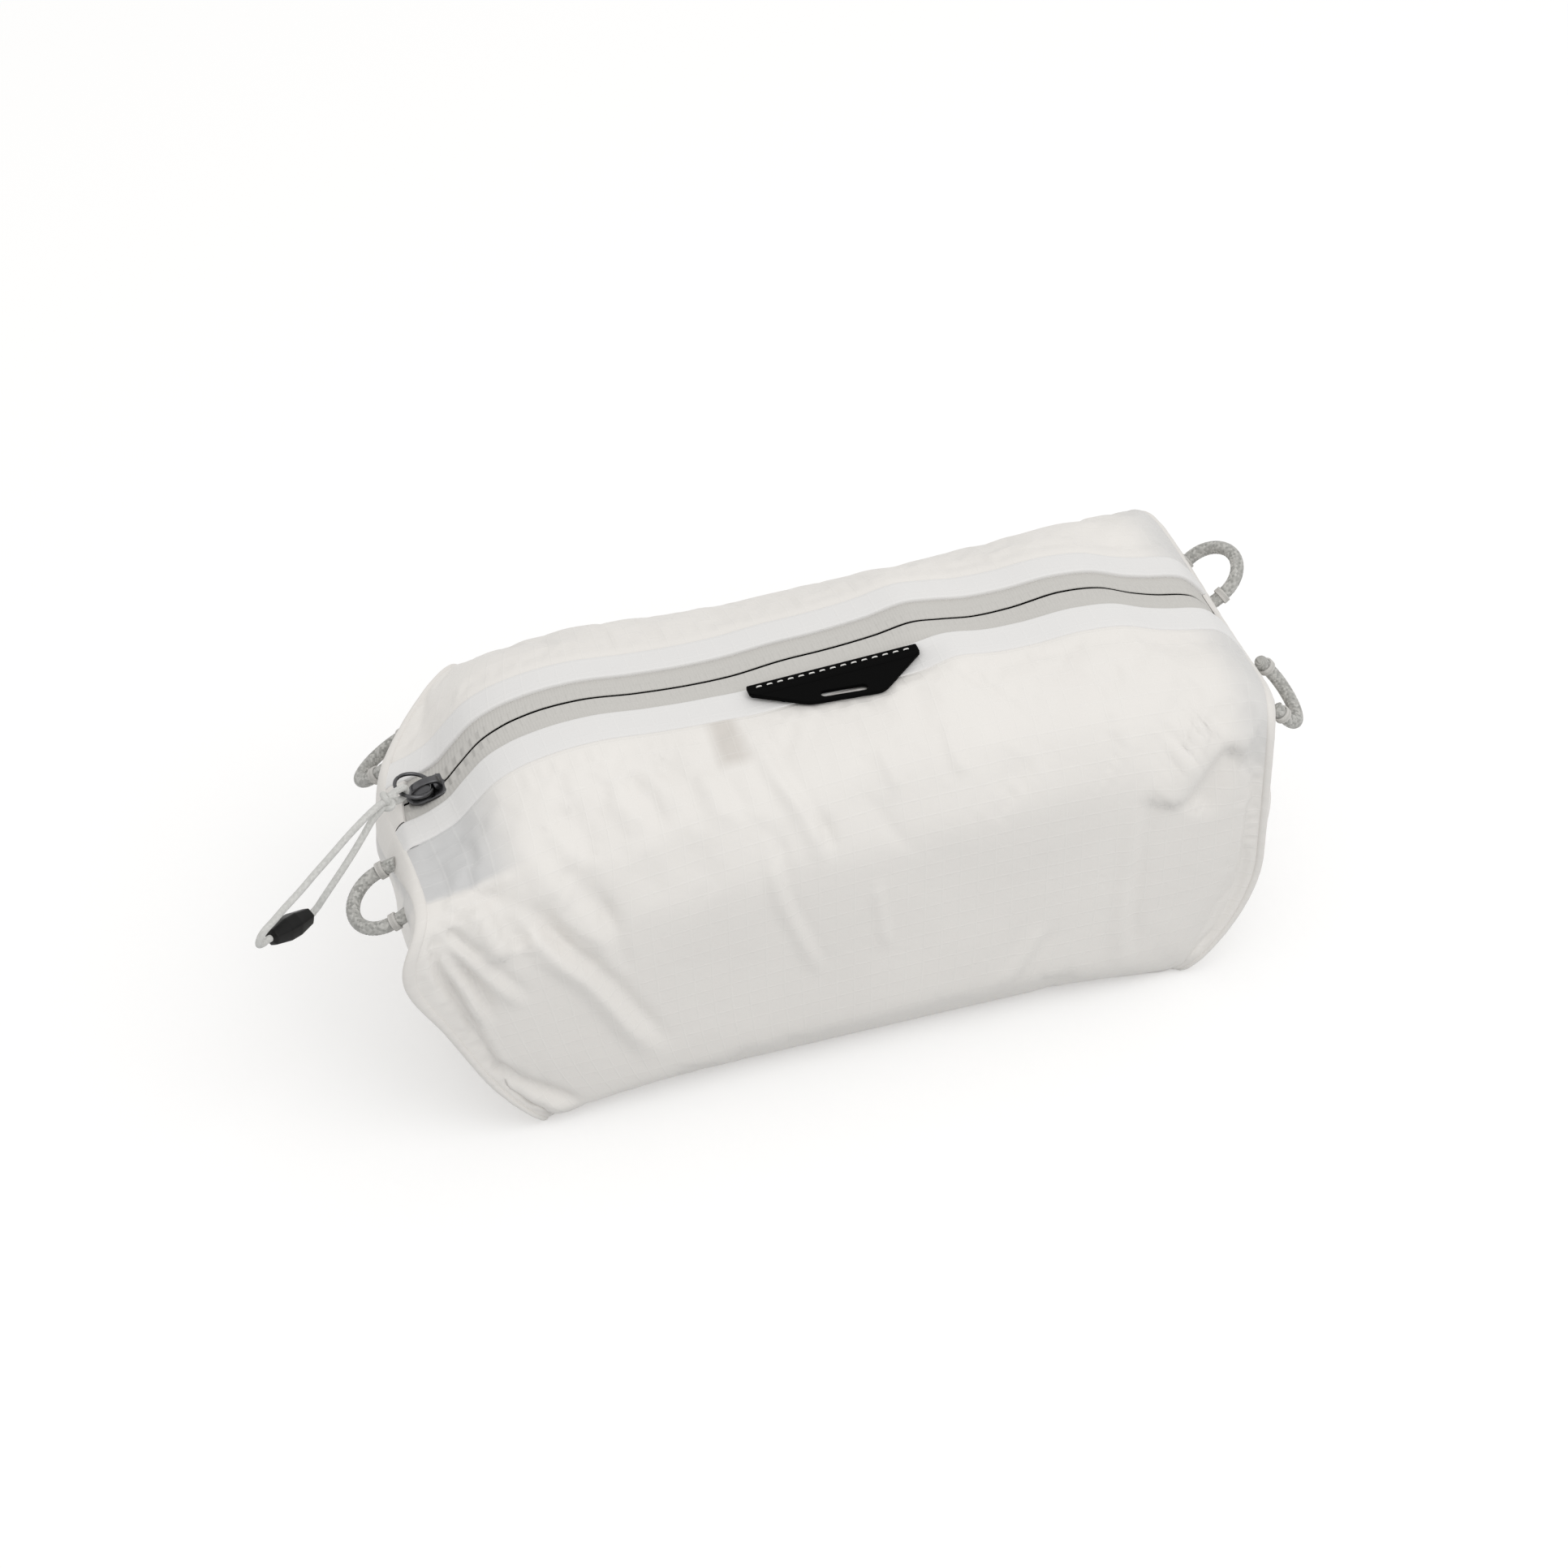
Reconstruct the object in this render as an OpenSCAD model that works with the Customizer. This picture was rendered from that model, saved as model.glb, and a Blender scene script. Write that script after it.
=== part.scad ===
// Zipped stuff sack: a small stuffed pouch of thin ripstop fabric, closed by a zip
// along its top, with a cord pull, a black hang tab and four corner cord loops.
// Origin: middle of the resting face. X runs along the zip, -Y is the front, Z is up.

/* [Bag] */
// Length along the zip between the two end seams
bag_l = 250; // [230:1:270]
// Depth at the fullest part
bag_d = 106; // [96:1:116]
// Height at the middle of the zip
bag_h = 109; // [100:1:120]
// Radius of the arc that the closed zip follows over the top
crest_r = 480; // [420:10:600]
// Distance of the arc's highest point from the middle, towards the right
crest_x = 28; // [10:1:40]
// How far the right end of the zip falls away below the arc
right_fall = 20; // [10:1:24]
// Length over which the right end falls away
right_fall_l = 15; // [13:1:18]
// How far the left end of the zip falls away below the arc
left_fall = 10; // [4:1:12]
// Length over which the left end falls away
left_fall_l = 6; // [5:0.5:6]
// Squareness of the section halfway along: 2 is an oval, 4 a rounded square
squareness = 4.6; // [3.4:0.1:5.2]
// Squareness of the section at the two ends
end_squareness = 7.5; // [5:0.5:9]
// Squareness of the lower half
base_squareness = 9.5; // [6:0.5:11]
// Share of the height at which the bag is widest
waist = 0.46; // [0.4:0.01:0.55]
// Share of the depth that is lost towards the ends
end_taper = 0.01; // [0:0.01:0.06]
// Share of the half length by which the ends lean in at the floor
lean_in = 0.18; // [0.05:0.01:0.22]
// Height over which the ends lean in
lean_h = 44; // [36:1:56]
// How far the stuffed base flattens against the surface
settle = 2; // [1:0.5:4]
// Thickness of a sewn fabric panel
fabric_t = 1; // [0.6:0.1:1.4]
// How far the end panels bulge out
end_bulge = 6; // [3:0.5:9]
// How far the corners of each end are drawn back from its middle
end_bow = 9; // [4:1:11]
// How much further the left back corner is drawn in
back_in = 20; // [8:1:22]
// How far the upper back edge sags over the middle
back_sag = 7; // [3:0.5:8]
// How far the stuffing pushes the left front corner out at half the height
front_push = 8; // [2:0.5:9]

/* [Seams and facings] */
// Width of each facing beside the zip tape
facing_w = 9; // [6:0.5:12]
// Width of the binding round each end seam
binding_w = 3; // [2:0.5:4]
// How far the binding stands proud of the fabric
binding_proud = 1.2; // [0.6:0.1:2]
// Length of the folded flap over each end of the zip
flap_w = 5; // [4:0.5:7]
// Width of the blank inner label
label_w = 11; // [8:1:16]
// Length of the blank inner label
label_l = 14; // [10:1:18]
// Thickness of the inner label
label_t = 0.4; // [0.3:0.1:0.8]
// Clearance between the hanging label and the front panel
label_gap = 0.8; // [0.6:0.1:1.5]
// Distance of the label's middle from the middle of the bag, towards the left
label_x = 34; // [10:1:60]

/* [Zip] */
// Half of the tape width that shows between the facings
tape_show = 8; // [6:0.5:10]
// Thickness of the tape
tape_t = 0.8; // [0.5:0.1:1]
// Gap between the two tape edges
tape_gap = 1.5; // [1.3:0.1:2]
// Width of one row of coil
coil_w = 2.6; // [2.2:0.1:3]
// Height of the coil under the tape
coil_t = 2.2; // [1.8:0.1:2.6]
// Distance from one coil turn to the next
coil_pitch = 2.4; // [2:0.1:3.2]
// Clearance left where a sewn piece lies under curved fabric
sewn_gap = 0.1; // [0.1:0.05:0.3]
// Length of an end stop
stop_l = 1.7; // [1.2:0.1:2.2]

/* [Slider and pull] */
// Length of the slider
slider_l = 12; // [10:0.5:14]
// Thickness of the slider's plates
plate_t = 1.1; // [0.9:0.1:1.4]
// Running clearance of the slider on the chain
run_gap = 0.3; // [0.25:0.05:0.4]
// Thickness of the slider's side flanges
flange_t = 0.75; // [0.6:0.05:1]
// Length of the bail over the slider
bail_l = 9.6; // [8.6:0.2:10]
// Height of the opening under the bail
bail_open = 2.3; // [2:0.1:3]
// Thickness of the bail's wire strap
bail_t = 1; // [0.8:0.1:1.3]
// Width of the bail
bail_w = 2.6; // [2:0.1:3]
// Outer diameter of the split ring
ring_d = 11.5; // [10:0.5:13]
// Diameter of the ring's wire
ring_wire = 1.1; // [0.9:0.1:1.3]
// Place of the ring's hinge line under the bail, behind the slider's middle
ring_seat = 2.1; // [1:0.1:2.2]
// Angle at which the ring is held up from the tape
ring_lift = 27; // [24:1:32]
// Diameter of the pull cord
pull_cord_d = 2; // [1.6:0.1:2.4]
// Length of the moulded cord end
cord_end_l = 17; // [14:0.5:20]
// Largest width of the moulded cord end
cord_end_w = 7; // [6:0.5:8]
// Smallest width of the moulded cord end
cord_end_tip = 4.6; // [4:0.2:6]

/* [Hang tab] */
// Width of the tab at its sewn edge
tab_w = 49; // [40:1:60]
// Width of the tab at its free edge
tab_tip_w = 21; // [19:1:30]
// Distance from the sewn edge to the free edge
tab_drop = 14; // [12:0.5:18]
// Depth of the sewn head strip
tab_head = 3.2; // [2.6:0.1:4]
// Thickness of the tab
tab_t = 1.2; // [0.9:0.1:1.6]
// Length of the slot in the tab
slot_l = 13.2; // [10:0.2:15]
// Width of the slot in the tab
slot_w = 1.8; // [1.4:0.1:2.4]
// Fabric left between the slot and the free edge
slot_edge = 1.8; // [1.4:0.1:2.4]
// Number of stitches along the head strip
stitches = 15; // [10:1:18]
// Length of one stitch
stitch_l = 2; // [1.4:0.1:2.4]
// Distance of the tab's middle from the middle of the bag, towards the right
tab_x = 3; // [0:1:20]
// Slope of the tab down the front
tab_slope = 1.5; // [0.5:0.5:2]
// Gap left under the tab and behind its fold
tab_gap = 0.35; // [0.3:0.05:0.6]

/* [Corner loops] */
// Diameter of the loop cord
loop_cord_d = 4; // [3:0.2:5]
// Bend radius of each loop along its middle line
loop_r = 10; // [8:0.5:11]
// Straight length of each leg
loop_leg = 2.4; // [2.4:0.2:5]
// Length of the whipping round each leg
whip_l = 2; // [1.4:0.2:2]
// Thickness of the whipping
whip_t = 0.6; // [0.4:0.1:0.9]
// Clearance between a loop and the bag it is sewn to
loop_gap = 0.7; // [0.3:0.1:0.9]
// Distance of each loop's middle from the zip line
loop_y = 26; // [24:1:28]
// How much further back the left back loop sits
loop_back_y = 5; // [0:1:6]
// Drop of each loop's middle below the top of the end seam
loop_drop = 5; // [4:0.5:8]
// Turn of each loop's base line to follow the rounded corner
corner_turn = 4; // [0:1:8]
// Rise of the left front loop
lift_left_front = -30; // [-45:1:10]
// Rise of the left back loop
lift_left_back = -45; // [-60:1:10]
// Rise of the right front loop
lift_right_front = -52; // [-72:1:10]
// Rise of the right back loop
lift_right_back = 30; // [-20:1:40]

/* [Hidden] */

$fn = 32;
fabric = "#e6e5e1";
facing_fabric = "#e4e4e4";
tape_grey = "#c8c8c3";
cord_grey = "#bfbebb";
steel = "#4a4a4c";
black = "#161616";

half_l = bag_l / 2;
axis_z = bag_h - crest_r;                  // height of the axis of the zip's arc
seam_s = 1 + binding_w / half_l;           // station where the end panel starts
fall_right_x = half_l + binding_w - right_fall_l;
fall_left_x = half_l + binding_w - left_fall_l;
gap_y = tape_gap / 2;
facing_y = tape_show + facing_w;
left_s = -fall_left_x / half_l;
right_s = fall_right_x / half_l;
// Stations along the bag: the two falls of the zip each start at one.
stations = concat([-1, (left_s - 1) / 2],
                  [for (i = [0 : 28]) left_s + (right_s - left_s) * i / 28],
                  [right_s + (1 - right_s) / 3, right_s + (1 - right_s) * 2 / 3, 1]);

// Places round a section: [distance from the zip line, angle past it].
front_side = [[facing_y, 0], [0, 12], [0, 20], [0, 28], [0, 37], [0, 47], [0, 57], [0, 68], [0, 79],
              [0, 90], [0, 103], [0, 116], [0, 128], [0, 139], [0, 150]];
base_side = [[0, 150], [0, 165], [0, 180], [0, 195], [0, 210]];
facing_side = [[tape_show, 0], [facing_y, 0]];
tape_side = [[gap_y, 0], [tape_show, 0], [facing_y, 0]];
ring_side = concat(tape_side, [for (i = [1 : len(front_side) - 1]) front_side[i]],
                   [[0, 165], [0, 180]]);

// ---- the stuffed form ----
function spow(v, p) = sign(v) * pow(abs(v), p);
function half_w(s) = bag_d / 2 * (1 - end_taper * s * s);
function crest_z(x) = axis_z + sqrt(crest_r * crest_r - pow(x - crest_x, 2))
    - right_fall * pow(max(0, x - fall_right_x) / right_fall_l, 2)
    - left_fall * pow(max(0, -x - fall_left_x) / left_fall_l, 2);
function lean(z) = 1 - lean_in * pow(max(0, 1 - z / lean_h), 2);
function inset(s, y) = back_in * pow(max(0, -s), 2) * pow(max(0, y) / (bag_d / 2), 1.5)
    - sign(s) * end_bow * pow(s, 4) * pow(y / (bag_d / 2), 2);
function sag(x, y, z) = back_sag * exp(-pow((x / half_l - 0.18) / 0.53, 4))
    * max(0, min(1, (z / bag_h - 0.46) / 0.46))
    * pow(max(0, min(1, (y / (bag_d / 2) - 0.23) / 0.66)), 1.5);
function push(s, y, z) = front_push * exp(-pow((z / bag_h - 0.46) / 0.2, 2))
    * pow(max(0, -y) / (bag_d / 2), 1.2) * pow(max(0, -s), 3);
function square_at(s) = squareness + (end_squareness - squareness) * s * s;
function turn(place, s) = place[1] + asin(pow(place[0] / half_w(s), square_at(s) / 2));

// A point of the outside at station s (-1 to 1 along the bag) and angle a from the zip line:
// a rounded-square section under the zip's arc, flattened where it rests.
function form(s, a, side) =
    let (power = 2 / (cos(a) > 0 ? square_at(s) : base_squareness),
         y = side * half_w(s) * spow(sin(a), power),
         top = crest_z(s * half_l + inset(s, y)), mid = waist * top,
         raw = cos(a) > 0 ? mid + (top - mid) * pow(cos(a), power)
                          : mid * (1 - pow(-cos(a), power)),
         rest = max(0, raw - settle * max(0, 1 - raw / mid)),
         z = rest - sag(s * half_l, y, rest))
    [s * half_l * lean(z) + inset(s, y) - push(s, y, z), y, z];

function unit(v) = v / norm(v);
function outward(s, a, side) =
    let (ds = 0.01, da = 1.5)
    unit(-side * cross(form(s + ds, a, side) - form(s - ds, a, side),
                      form(s, a - da, side) - form(s, a + da, side)));
function skin(s, place, side, off) =
    let (a = turn(place, s), p = form(s, a, side) + off * outward(s, a, side))
    [p[0], p[1], max(0, p[2])];                    // nothing reaches below the resting face

// A closed slab of fabric over stations ss and places ps, between two offsets.
// closed joins the last place to the first, for bands that run right round.
module slab(ss, ps, side, top, under, closed = false) {
    n = len(ss);
    m = len(ps);
    wraps = closed ? m : m - 1;
    grid = [for (off = [top, under]) for (s = ss) for (p = ps)
                skin(s, [p[0], p[1]], len(p) > 2 ? p[2] : side, off)];
    function at(k, i, j) = k * n * m + i * m + j % m;
    function quad(a, b, c, d) = [[a, b, c], [a, c, d]];
    faces = [
        for (i = [0 : n - 2]) for (j = [0 : wraps - 1])
            each quad(at(0, i, j), at(0, i, j + 1), at(0, i + 1, j + 1), at(0, i + 1, j)),
        for (i = [0 : n - 2]) for (j = [0 : wraps - 1])
            each quad(at(1, i, j), at(1, i + 1, j), at(1, i + 1, j + 1), at(1, i, j + 1)),
        for (j = [0 : wraps - 1])
            each quad(at(0, 0, j), at(1, 0, j), at(1, 0, j + 1), at(0, 0, j + 1)),
        for (j = [0 : wraps - 1])
            each quad(at(0, n - 1, j), at(0, n - 1, j + 1), at(1, n - 1, j + 1), at(1, n - 1, j)),
        if (!closed) for (i = [0 : n - 2])
            each quad(at(0, i, 0), at(0, i + 1, 0), at(1, i + 1, 0), at(1, i, 0)),
        if (!closed) for (i = [0 : n - 2])
            each quad(at(0, i, m - 1), at(1, i, m - 1), at(1, i + 1, m - 1), at(0, i + 1, m - 1))
    ];
    polyhedron(points = grid, faces = side < 0 ? faces : [for (f = faces) [f[2], f[1], f[0]]]);
}

// All places round a section, front side then back side, as [distance, angle, side].
whole_ring = concat([for (p = ring_side) [p[0], p[1], -1]],
                    [for (i = [len(ring_side) - 2 : -1 : 0]) [ring_side[i][0], ring_side[i][1], 1]]);

// A bulging end panel: rings that shrink towards the middle of the end.
module end_cap(end) {
    shrink = [1, 0.9, 0.75, 0.5, 0.25];
    m = len(whole_ring);
    n = len(shrink);
    mid_z = crest_z(end * half_l) / 2;
    cap_s = seam_s + sewn_gap / bag_l;             // a hair beyond the binding
    edge = [for (off = [0, -fabric_t]) [for (p = whole_ring) skin(end * cap_s, p, p[2], off)]];
    function dome(p, r, k) = r == 1 ? p :
        let (y = r * p[1], z = mid_z + r * (p[2] - mid_z),
             bulge = end_bulge * pow(1 - r * r, 1.5))
        [end * (cap_s * half_l * lean(z) + bulge - k * min(fabric_t, bulge))
             + inset(end * cap_s, y) - push(end * cap_s, y, z), y, z];
    pts = [for (k = [0, 1]) for (r = shrink) for (p = edge[r == 1 ? k : 0]) dome(p, r, k)];
    poles = [for (k = [0, 1]) dome([0, 0, mid_z], 0, k)];
    function at(k, i, j) = k * n * m + i * m + j % m;
    function quad(a, b, c, d) = [[a, b, c], [a, c, d]];
    faces = [
        for (i = [0 : n - 2]) for (j = [0 : m - 1])
            each quad(at(0, i, j), at(0, i, j + 1), at(0, i + 1, j + 1), at(0, i + 1, j)),
        for (i = [0 : n - 2]) for (j = [0 : m - 1])
            each quad(at(1, i, j), at(1, i + 1, j), at(1, i + 1, j + 1), at(1, i, j + 1)),
        for (j = [0 : m - 1]) [at(0, n - 1, j), at(0, n - 1, j + 1), 2 * n * m],
        for (j = [0 : m - 1]) [at(1, n - 1, j + 1), at(1, n - 1, j), 2 * n * m + 1],
        for (j = [0 : m - 1])
            each quad(at(0, 0, j), at(1, 0, j), at(1, 0, j + 1), at(0, 0, j + 1))
    ];
    polyhedron(points = concat(pts, poles),
               faces = end > 0 ? faces : [for (f = faces) [f[2], f[1], f[0]]]);
}

module binding(end)
    slab([end > 0 ? 1 : -seam_s, end > 0 ? seam_s : -1], whole_ring, -1,
         binding_proud, -(fabric_t + tape_t), closed = true);

module front_panel() color(fabric) slab(stations, front_side, -1, 0, -fabric_t);
module back_panel() color(fabric) slab(stations, front_side, 1, 0, -fabric_t);
module bottom_panel() color(fabric) slab(stations, base_side, -1, 0, -fabric_t);
module left_end_panel() color(fabric) end_cap(-1);
module right_end_panel() color(fabric) end_cap(1);
module left_binding() color(fabric) binding(-1);
module right_binding() color(fabric) binding(1);
module front_facing() color(facing_fabric) slab(stations, facing_side, -1, 0, -fabric_t);
module back_facing() color(facing_fabric) slab(stations, facing_side, 1, 0, -fabric_t);

// The blank label hangs inside from the front facing's seam.
module inner_label() color(tape_grey)
    slab([for (x = [-label_x - label_w / 2, -label_x + label_w / 2]) x / half_l],
         [for (d = [0, 0.5, 1]) [facing_y + 0.3 + d * label_l, 0]], -1,
         -(fabric_t + label_gap), -(fabric_t + label_gap + label_t));

// ---- the zip ----
module front_tape() color(tape_grey)
    slab(stations, tape_side, -1, -fabric_t, -(fabric_t + tape_t));
module back_tape() color(tape_grey)
    slab(stations, tape_side, 1, -fabric_t, -(fabric_t + tape_t));

// Folded fabric across the tapes at one end, lying on them between the facings.
module zip_flap(end) {
    inner_s = 1 - flap_w / half_l;
    places = concat([[tape_show, 0, -1], [gap_y, 0, -1]], [[gap_y, 0, 1], [tape_show, 0, 1]]);
    seam = 1 - sewn_gap / half_l;
    first = end > 0 ? inner_s : -seam;
    last = end > 0 ? seam : -inner_s;
    between = [for (s = stations) if (s > first + 0.002 && s < last - 0.002) s];
    slab(concat([first], between, [last]), [for (i = [3 : -1 : 0]) places[i]], -1,
         0, sewn_gap - fabric_t);
}
module left_zip_flap() color(fabric) zip_flap(-1);
module right_zip_flap() color(fabric) zip_flap(1);

// Carries its children from the top of the zip's arc round to angle a, towards +X.
module on_crest(a)
    translate([crest_x, 0, axis_z]) rotate([0, a, 0]) translate([0, 0, crest_r]) children();

function turn_of(l) = l / crest_r * 180 / PI;                      // angle of a length on the arc
slider_x = half_l - flap_w - slider_l / 2 - run_gap;
slider_a = asin((-slider_x - crest_x) / crest_r);                  // closed, at the left end
stop_a = asin((fall_right_x - stop_l / 2 - crest_x) / crest_r);
open_a = stop_a - turn_of(slider_l / 2 + stop_l / 2 + 0.4);        // open, at the right end
coil_from = slider_a - turn_of(slider_l / 2 + 0.1);
coil_to = open_a + turn_of(slider_l / 2 + 0.1);
coil_top = -(fabric_t + tape_t + sewn_gap);
coil_web = 0.8;                                                    // band that joins the turns
turns = floor((coil_to - coil_from) / 180 * PI * crest_r / coil_pitch);

// One coil row seen from the side: a band on the arc with a turn every pitch below it.
module coil_row(side) {
    step = (coil_to - coil_from) / turns;
    function arc_at(a, off) =
        [crest_x + (crest_r + off) * sin(a), axis_z + (crest_r + off) * cos(a)];
    upper = [for (i = [0 : 2 : turns]) arc_at(coil_from + min(i, turns) * step, coil_top)];
    lower = [for (i = [turns - 1 : -1 : 0])
                 let (a = coil_from + (i + (side > 0 ? 0.35 : 0)) * step)
                 each [arc_at(a + 0.62 * step, coil_top - coil_web),
                       arc_at(a + 0.54 * step, coil_top - coil_t + sewn_gap),
                       arc_at(a + 0.12 * step, coil_top - coil_t + sewn_gap),
                       arc_at(a + 0.04 * step, coil_top - coil_web)]];
    translate([0, side > 0 ? gap_y + coil_w : -gap_y, 0])
        rotate([90, 0, 0]) linear_extrude(coil_w) polygon(concat(upper, lower));
}
module front_coil() color(cord_grey) coil_row(-1);
module back_coil() color(cord_grey) coil_row(1);

module stop_block(y0, y1)
    translate([-stop_l / 2, y0, coil_top - coil_t + sewn_gap]) cube([stop_l, y1 - y0, coil_t - sewn_gap]);
module left_stops() color(steel) on_crest(coil_from - turn_of(stop_l / 2 + 0.3)) {
    stop_block(-gap_y - coil_w, -gap_y);
    stop_block(gap_y, gap_y + coil_w);
}
module right_stop() color(steel) on_crest(stop_a) stop_block(-gap_y - coil_w, gap_y + coil_w);

// ---- the slider ----
plate_z = run_gap - fabric_t;                                      // underside of the top plate
under_z = coil_top - coil_t - run_gap;                             // top of the lower plate
flange_y = gap_y + coil_w + run_gap;                               // inner face of a flange
nose_r = flange_y + flange_t;

module plate_outline() {
    intersection() {
        union() {
            translate([nose_r - slider_l / 2, 0]) circle(nose_r, $fn = 48);
            translate([nose_r - slider_l / 2, -nose_r]) square([slider_l - nose_r, 2 * nose_r]);
        }
        translate([-slider_l / 2 - 1, 0]) circle(slider_l + 1, $fn = 96);
    }
}
module slider_body() color(steel) on_crest(slider_a) {
    translate([0, 0, plate_z]) linear_extrude(plate_t) plate_outline();
    translate([0, 0, under_z - plate_t]) linear_extrude(plate_t) plate_outline();
    // side flanges, turned up from the lower plate to just under the tape
    translate([0, 0, under_z - plate_t]) linear_extrude(-fabric_t - tape_t - run_gap - under_z + plate_t)
        intersection() {
            plate_outline();
            union() for (y = [-nose_r, flange_y])
                translate([nose_r - slider_l / 2, y]) square([slider_l - nose_r, flange_t]);
        }
    // divider at the nose, passing between the tapes
    translate([1 - slider_l / 2, run_gap - gap_y, under_z - plate_t])
        cube([3, tape_gap - 2 * run_gap, plate_z - under_z + 2 * plate_t]);
}

bail_z = plate_z + plate_t;
module bail_side(l, h) intersection() {
    translate([0, h - l * 0.62]) circle(l * 0.62, $fn = 64);
    translate([-l / 2, 0]) square([l, h]);
}
module slider_bail() color(steel) on_crest(slider_a) translate([0, bail_w / 2, bail_z])
    rotate([90, 0, 0]) linear_extrude(bail_w) difference() {
        bail_side(bail_l, bail_open + bail_t);
        translate([0, -0.01]) bail_side(bail_l - 2 * bail_t, bail_open + 0.01);
    }

// ---- the pull ----
ring_r = (ring_d - ring_wire) / 2;
ring_z = bail_z + run_gap + ring_wire / 2;                         // height of the ring's hinge line
module on_ring() on_crest(slider_a) translate([ring_seat, 0, ring_z]) rotate([0, ring_lift, 0]) children();

module pull_ring() color(steel) on_ring() translate([-ring_r, 0, 0])
    rotate_extrude($fn = 48) translate([ring_r, 0]) circle(ring_wire / 2, $fn = 16);

// Middle lines of the pull cord: out from the knot, round its end and into the cord end,
// back from the cord end to the knot, and the small loop through the ring.
knot_at = [-126, -7, 93];
pull_route = [[-128, -8.2, 93.6], [-131, -10.4, 93.8], [-135, -13.5, 93.5], [-140.5, -17.8, 92.6],
              [-146, -22.2, 91.4], [-151.5, -26.5, 90.2], [-157, -31, 89], [-162.5, -35.3, 88],
              [-166, -38.1, 87.2], [-168.5, -40, 86.7], [-170.1, -41.1, 85.9], [-171, -41.5, 84.4],
              [-171.2, -41.1, 82.7], [-170.6, -40, 81.4], [-169.3, -38.6, 80.5], [-167.3, -37, 80.1]];
return_route = [[-154.4, -27.2, 76.2], [-153.1, -26.2, 76.1], [-151.6, -25.5, 77], [-149.6, -24.9, 79.3],
                [-146.4, -23.2, 82], [-142.7, -20.6, 84.4], [-138.7, -17.2, 86.5], [-135.2, -13.9, 88.3],
                [-132, -10.8, 90], [-129.4, -9, 91.3], [-127.5, -8, 92.2]];
loop_route = [[-125.2, -6.4, 94], [-123.6, -5.1, 93.9], [-122.2, -3.9, 93.4], [-121.1, -3.1, 93],
              [-120.4, -2.5, 92.5], [-120, -2.1, 91.8], [-119.8, -2, 91], [-120, -2, 90.1],
              [-120.6, -2.4, 89.4], [-121.5, -3, 89.1], [-122.6, -3.9, 89.5], [-123.9, -5.1, 90.6],
              [-125.2, -6.4, 92]];

// Sweeps a round tube of diameter d along a list of points.
module tube(route, d, sides) {
    n = len(route);
    function dir(i) = unit(route[min(i + 1, n - 1)] - route[max(i - 1, 0)]);
    function frame_x(i) = unit(cross(dir(i), [0.2, -1, 0.3]));
    pts = [for (i = [0 : n - 1]) for (k = [0 : sides - 1])
               let (u = frame_x(i), v = cross(dir(i), u), a = k * 360 / sides)
               route[i] + d / 2 * (cos(a) * u + sin(a) * v)];
    polyhedron(points = pts, faces = concat(
        [[for (k = [0 : sides - 1]) k]],
        [for (i = [0 : n - 2]) for (k = [0 : sides - 1])
            let (a = i * sides + k, b = i * sides + (k + 1) % sides)
            each [[a, a + sides, b], [b, a + sides, b + sides]]],
        [[for (k = [sides - 1 : -1 : 0]) (n - 1) * sides + k]]));
}
module pull_cord() color(cord_grey) {
    tube(pull_route, pull_cord_d, 8);
    tube(return_route, pull_cord_d, 8);
    tube(loop_route, pull_cord_d, 8);
}
module pull_knot() color(cord_grey) translate(knot_at) sphere(3, $fn = 24);

cord_end_a = pull_route[len(pull_route) - 1];
cord_end_b = return_route[0];
module along(a, b) {
    d = b - a;
    translate(a) rotate([0, acos(d[2] / norm(d)), atan2(d[1], d[0])]) children();
}
module cord_end() color(black) along(cord_end_a, cord_end_b)
    rotate_extrude($fn = 6) polygon([[0, 0], [cord_end_tip / 2, 0], [cord_end_w / 2, cord_end_l * 0.35],
        [cord_end_w / 2, cord_end_l * 0.6], [cord_end_tip / 2, cord_end_l], [0, cord_end_l]]);

// ---- the hang tab ----
tab_a = asin((tab_x - crest_x) / crest_r);
module on_tab() on_crest(tab_a) translate([0, -tape_show - 1, tab_gap]) rotate([tab_slope, 0, 0]) children();
hinge_y = tab_head + tab_gap + tab_t / 2;                          // below the sewn edge

module tab_head_strip() color(black) on_tab()
    translate([-tab_w / 2, -tab_head, 0]) cube([tab_w, tab_head, tab_t]);

module flap_outline() {
    corner_r = 2;
    difference() {
        polygon([[-tab_w / 2, -hinge_y], [tab_w / 2, -hinge_y],
                 [tab_tip_w / 2 + corner_r * 0.35, -tab_drop + corner_r * 0.35],
                 [tab_tip_w / 2 - corner_r, -tab_drop], [corner_r - tab_tip_w / 2, -tab_drop],
                 [-tab_tip_w / 2 - corner_r * 0.35, -tab_drop + corner_r * 0.35]]);
        for (x = [-1, 1]) translate([x * (slot_l - slot_w) / 2, slot_edge + slot_w / 2 - tab_drop])
            circle(slot_w / 2, $fn = 24);
        translate([(slot_w - slot_l) / 2, slot_edge - tab_drop]) square([slot_l - slot_w, slot_w]);
    }
}
module hang_tab() color(black) on_tab() {
    linear_extrude(tab_t) flap_outline();
    translate([-tab_w / 2, -hinge_y, tab_t / 2]) rotate([0, 90, 0]) cylinder(h = tab_w, r = tab_t / 2);
}
module tab_stitches() color("white") on_tab() for (i = [0 : stitches - 1])
    translate([(i + 0.5) * tab_w / stitches - tab_w / 2 - stitch_l / 2, -tab_head / 2 - 0.3, tab_t])
        cube([stitch_l, 0.6, 0.3]);

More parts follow.
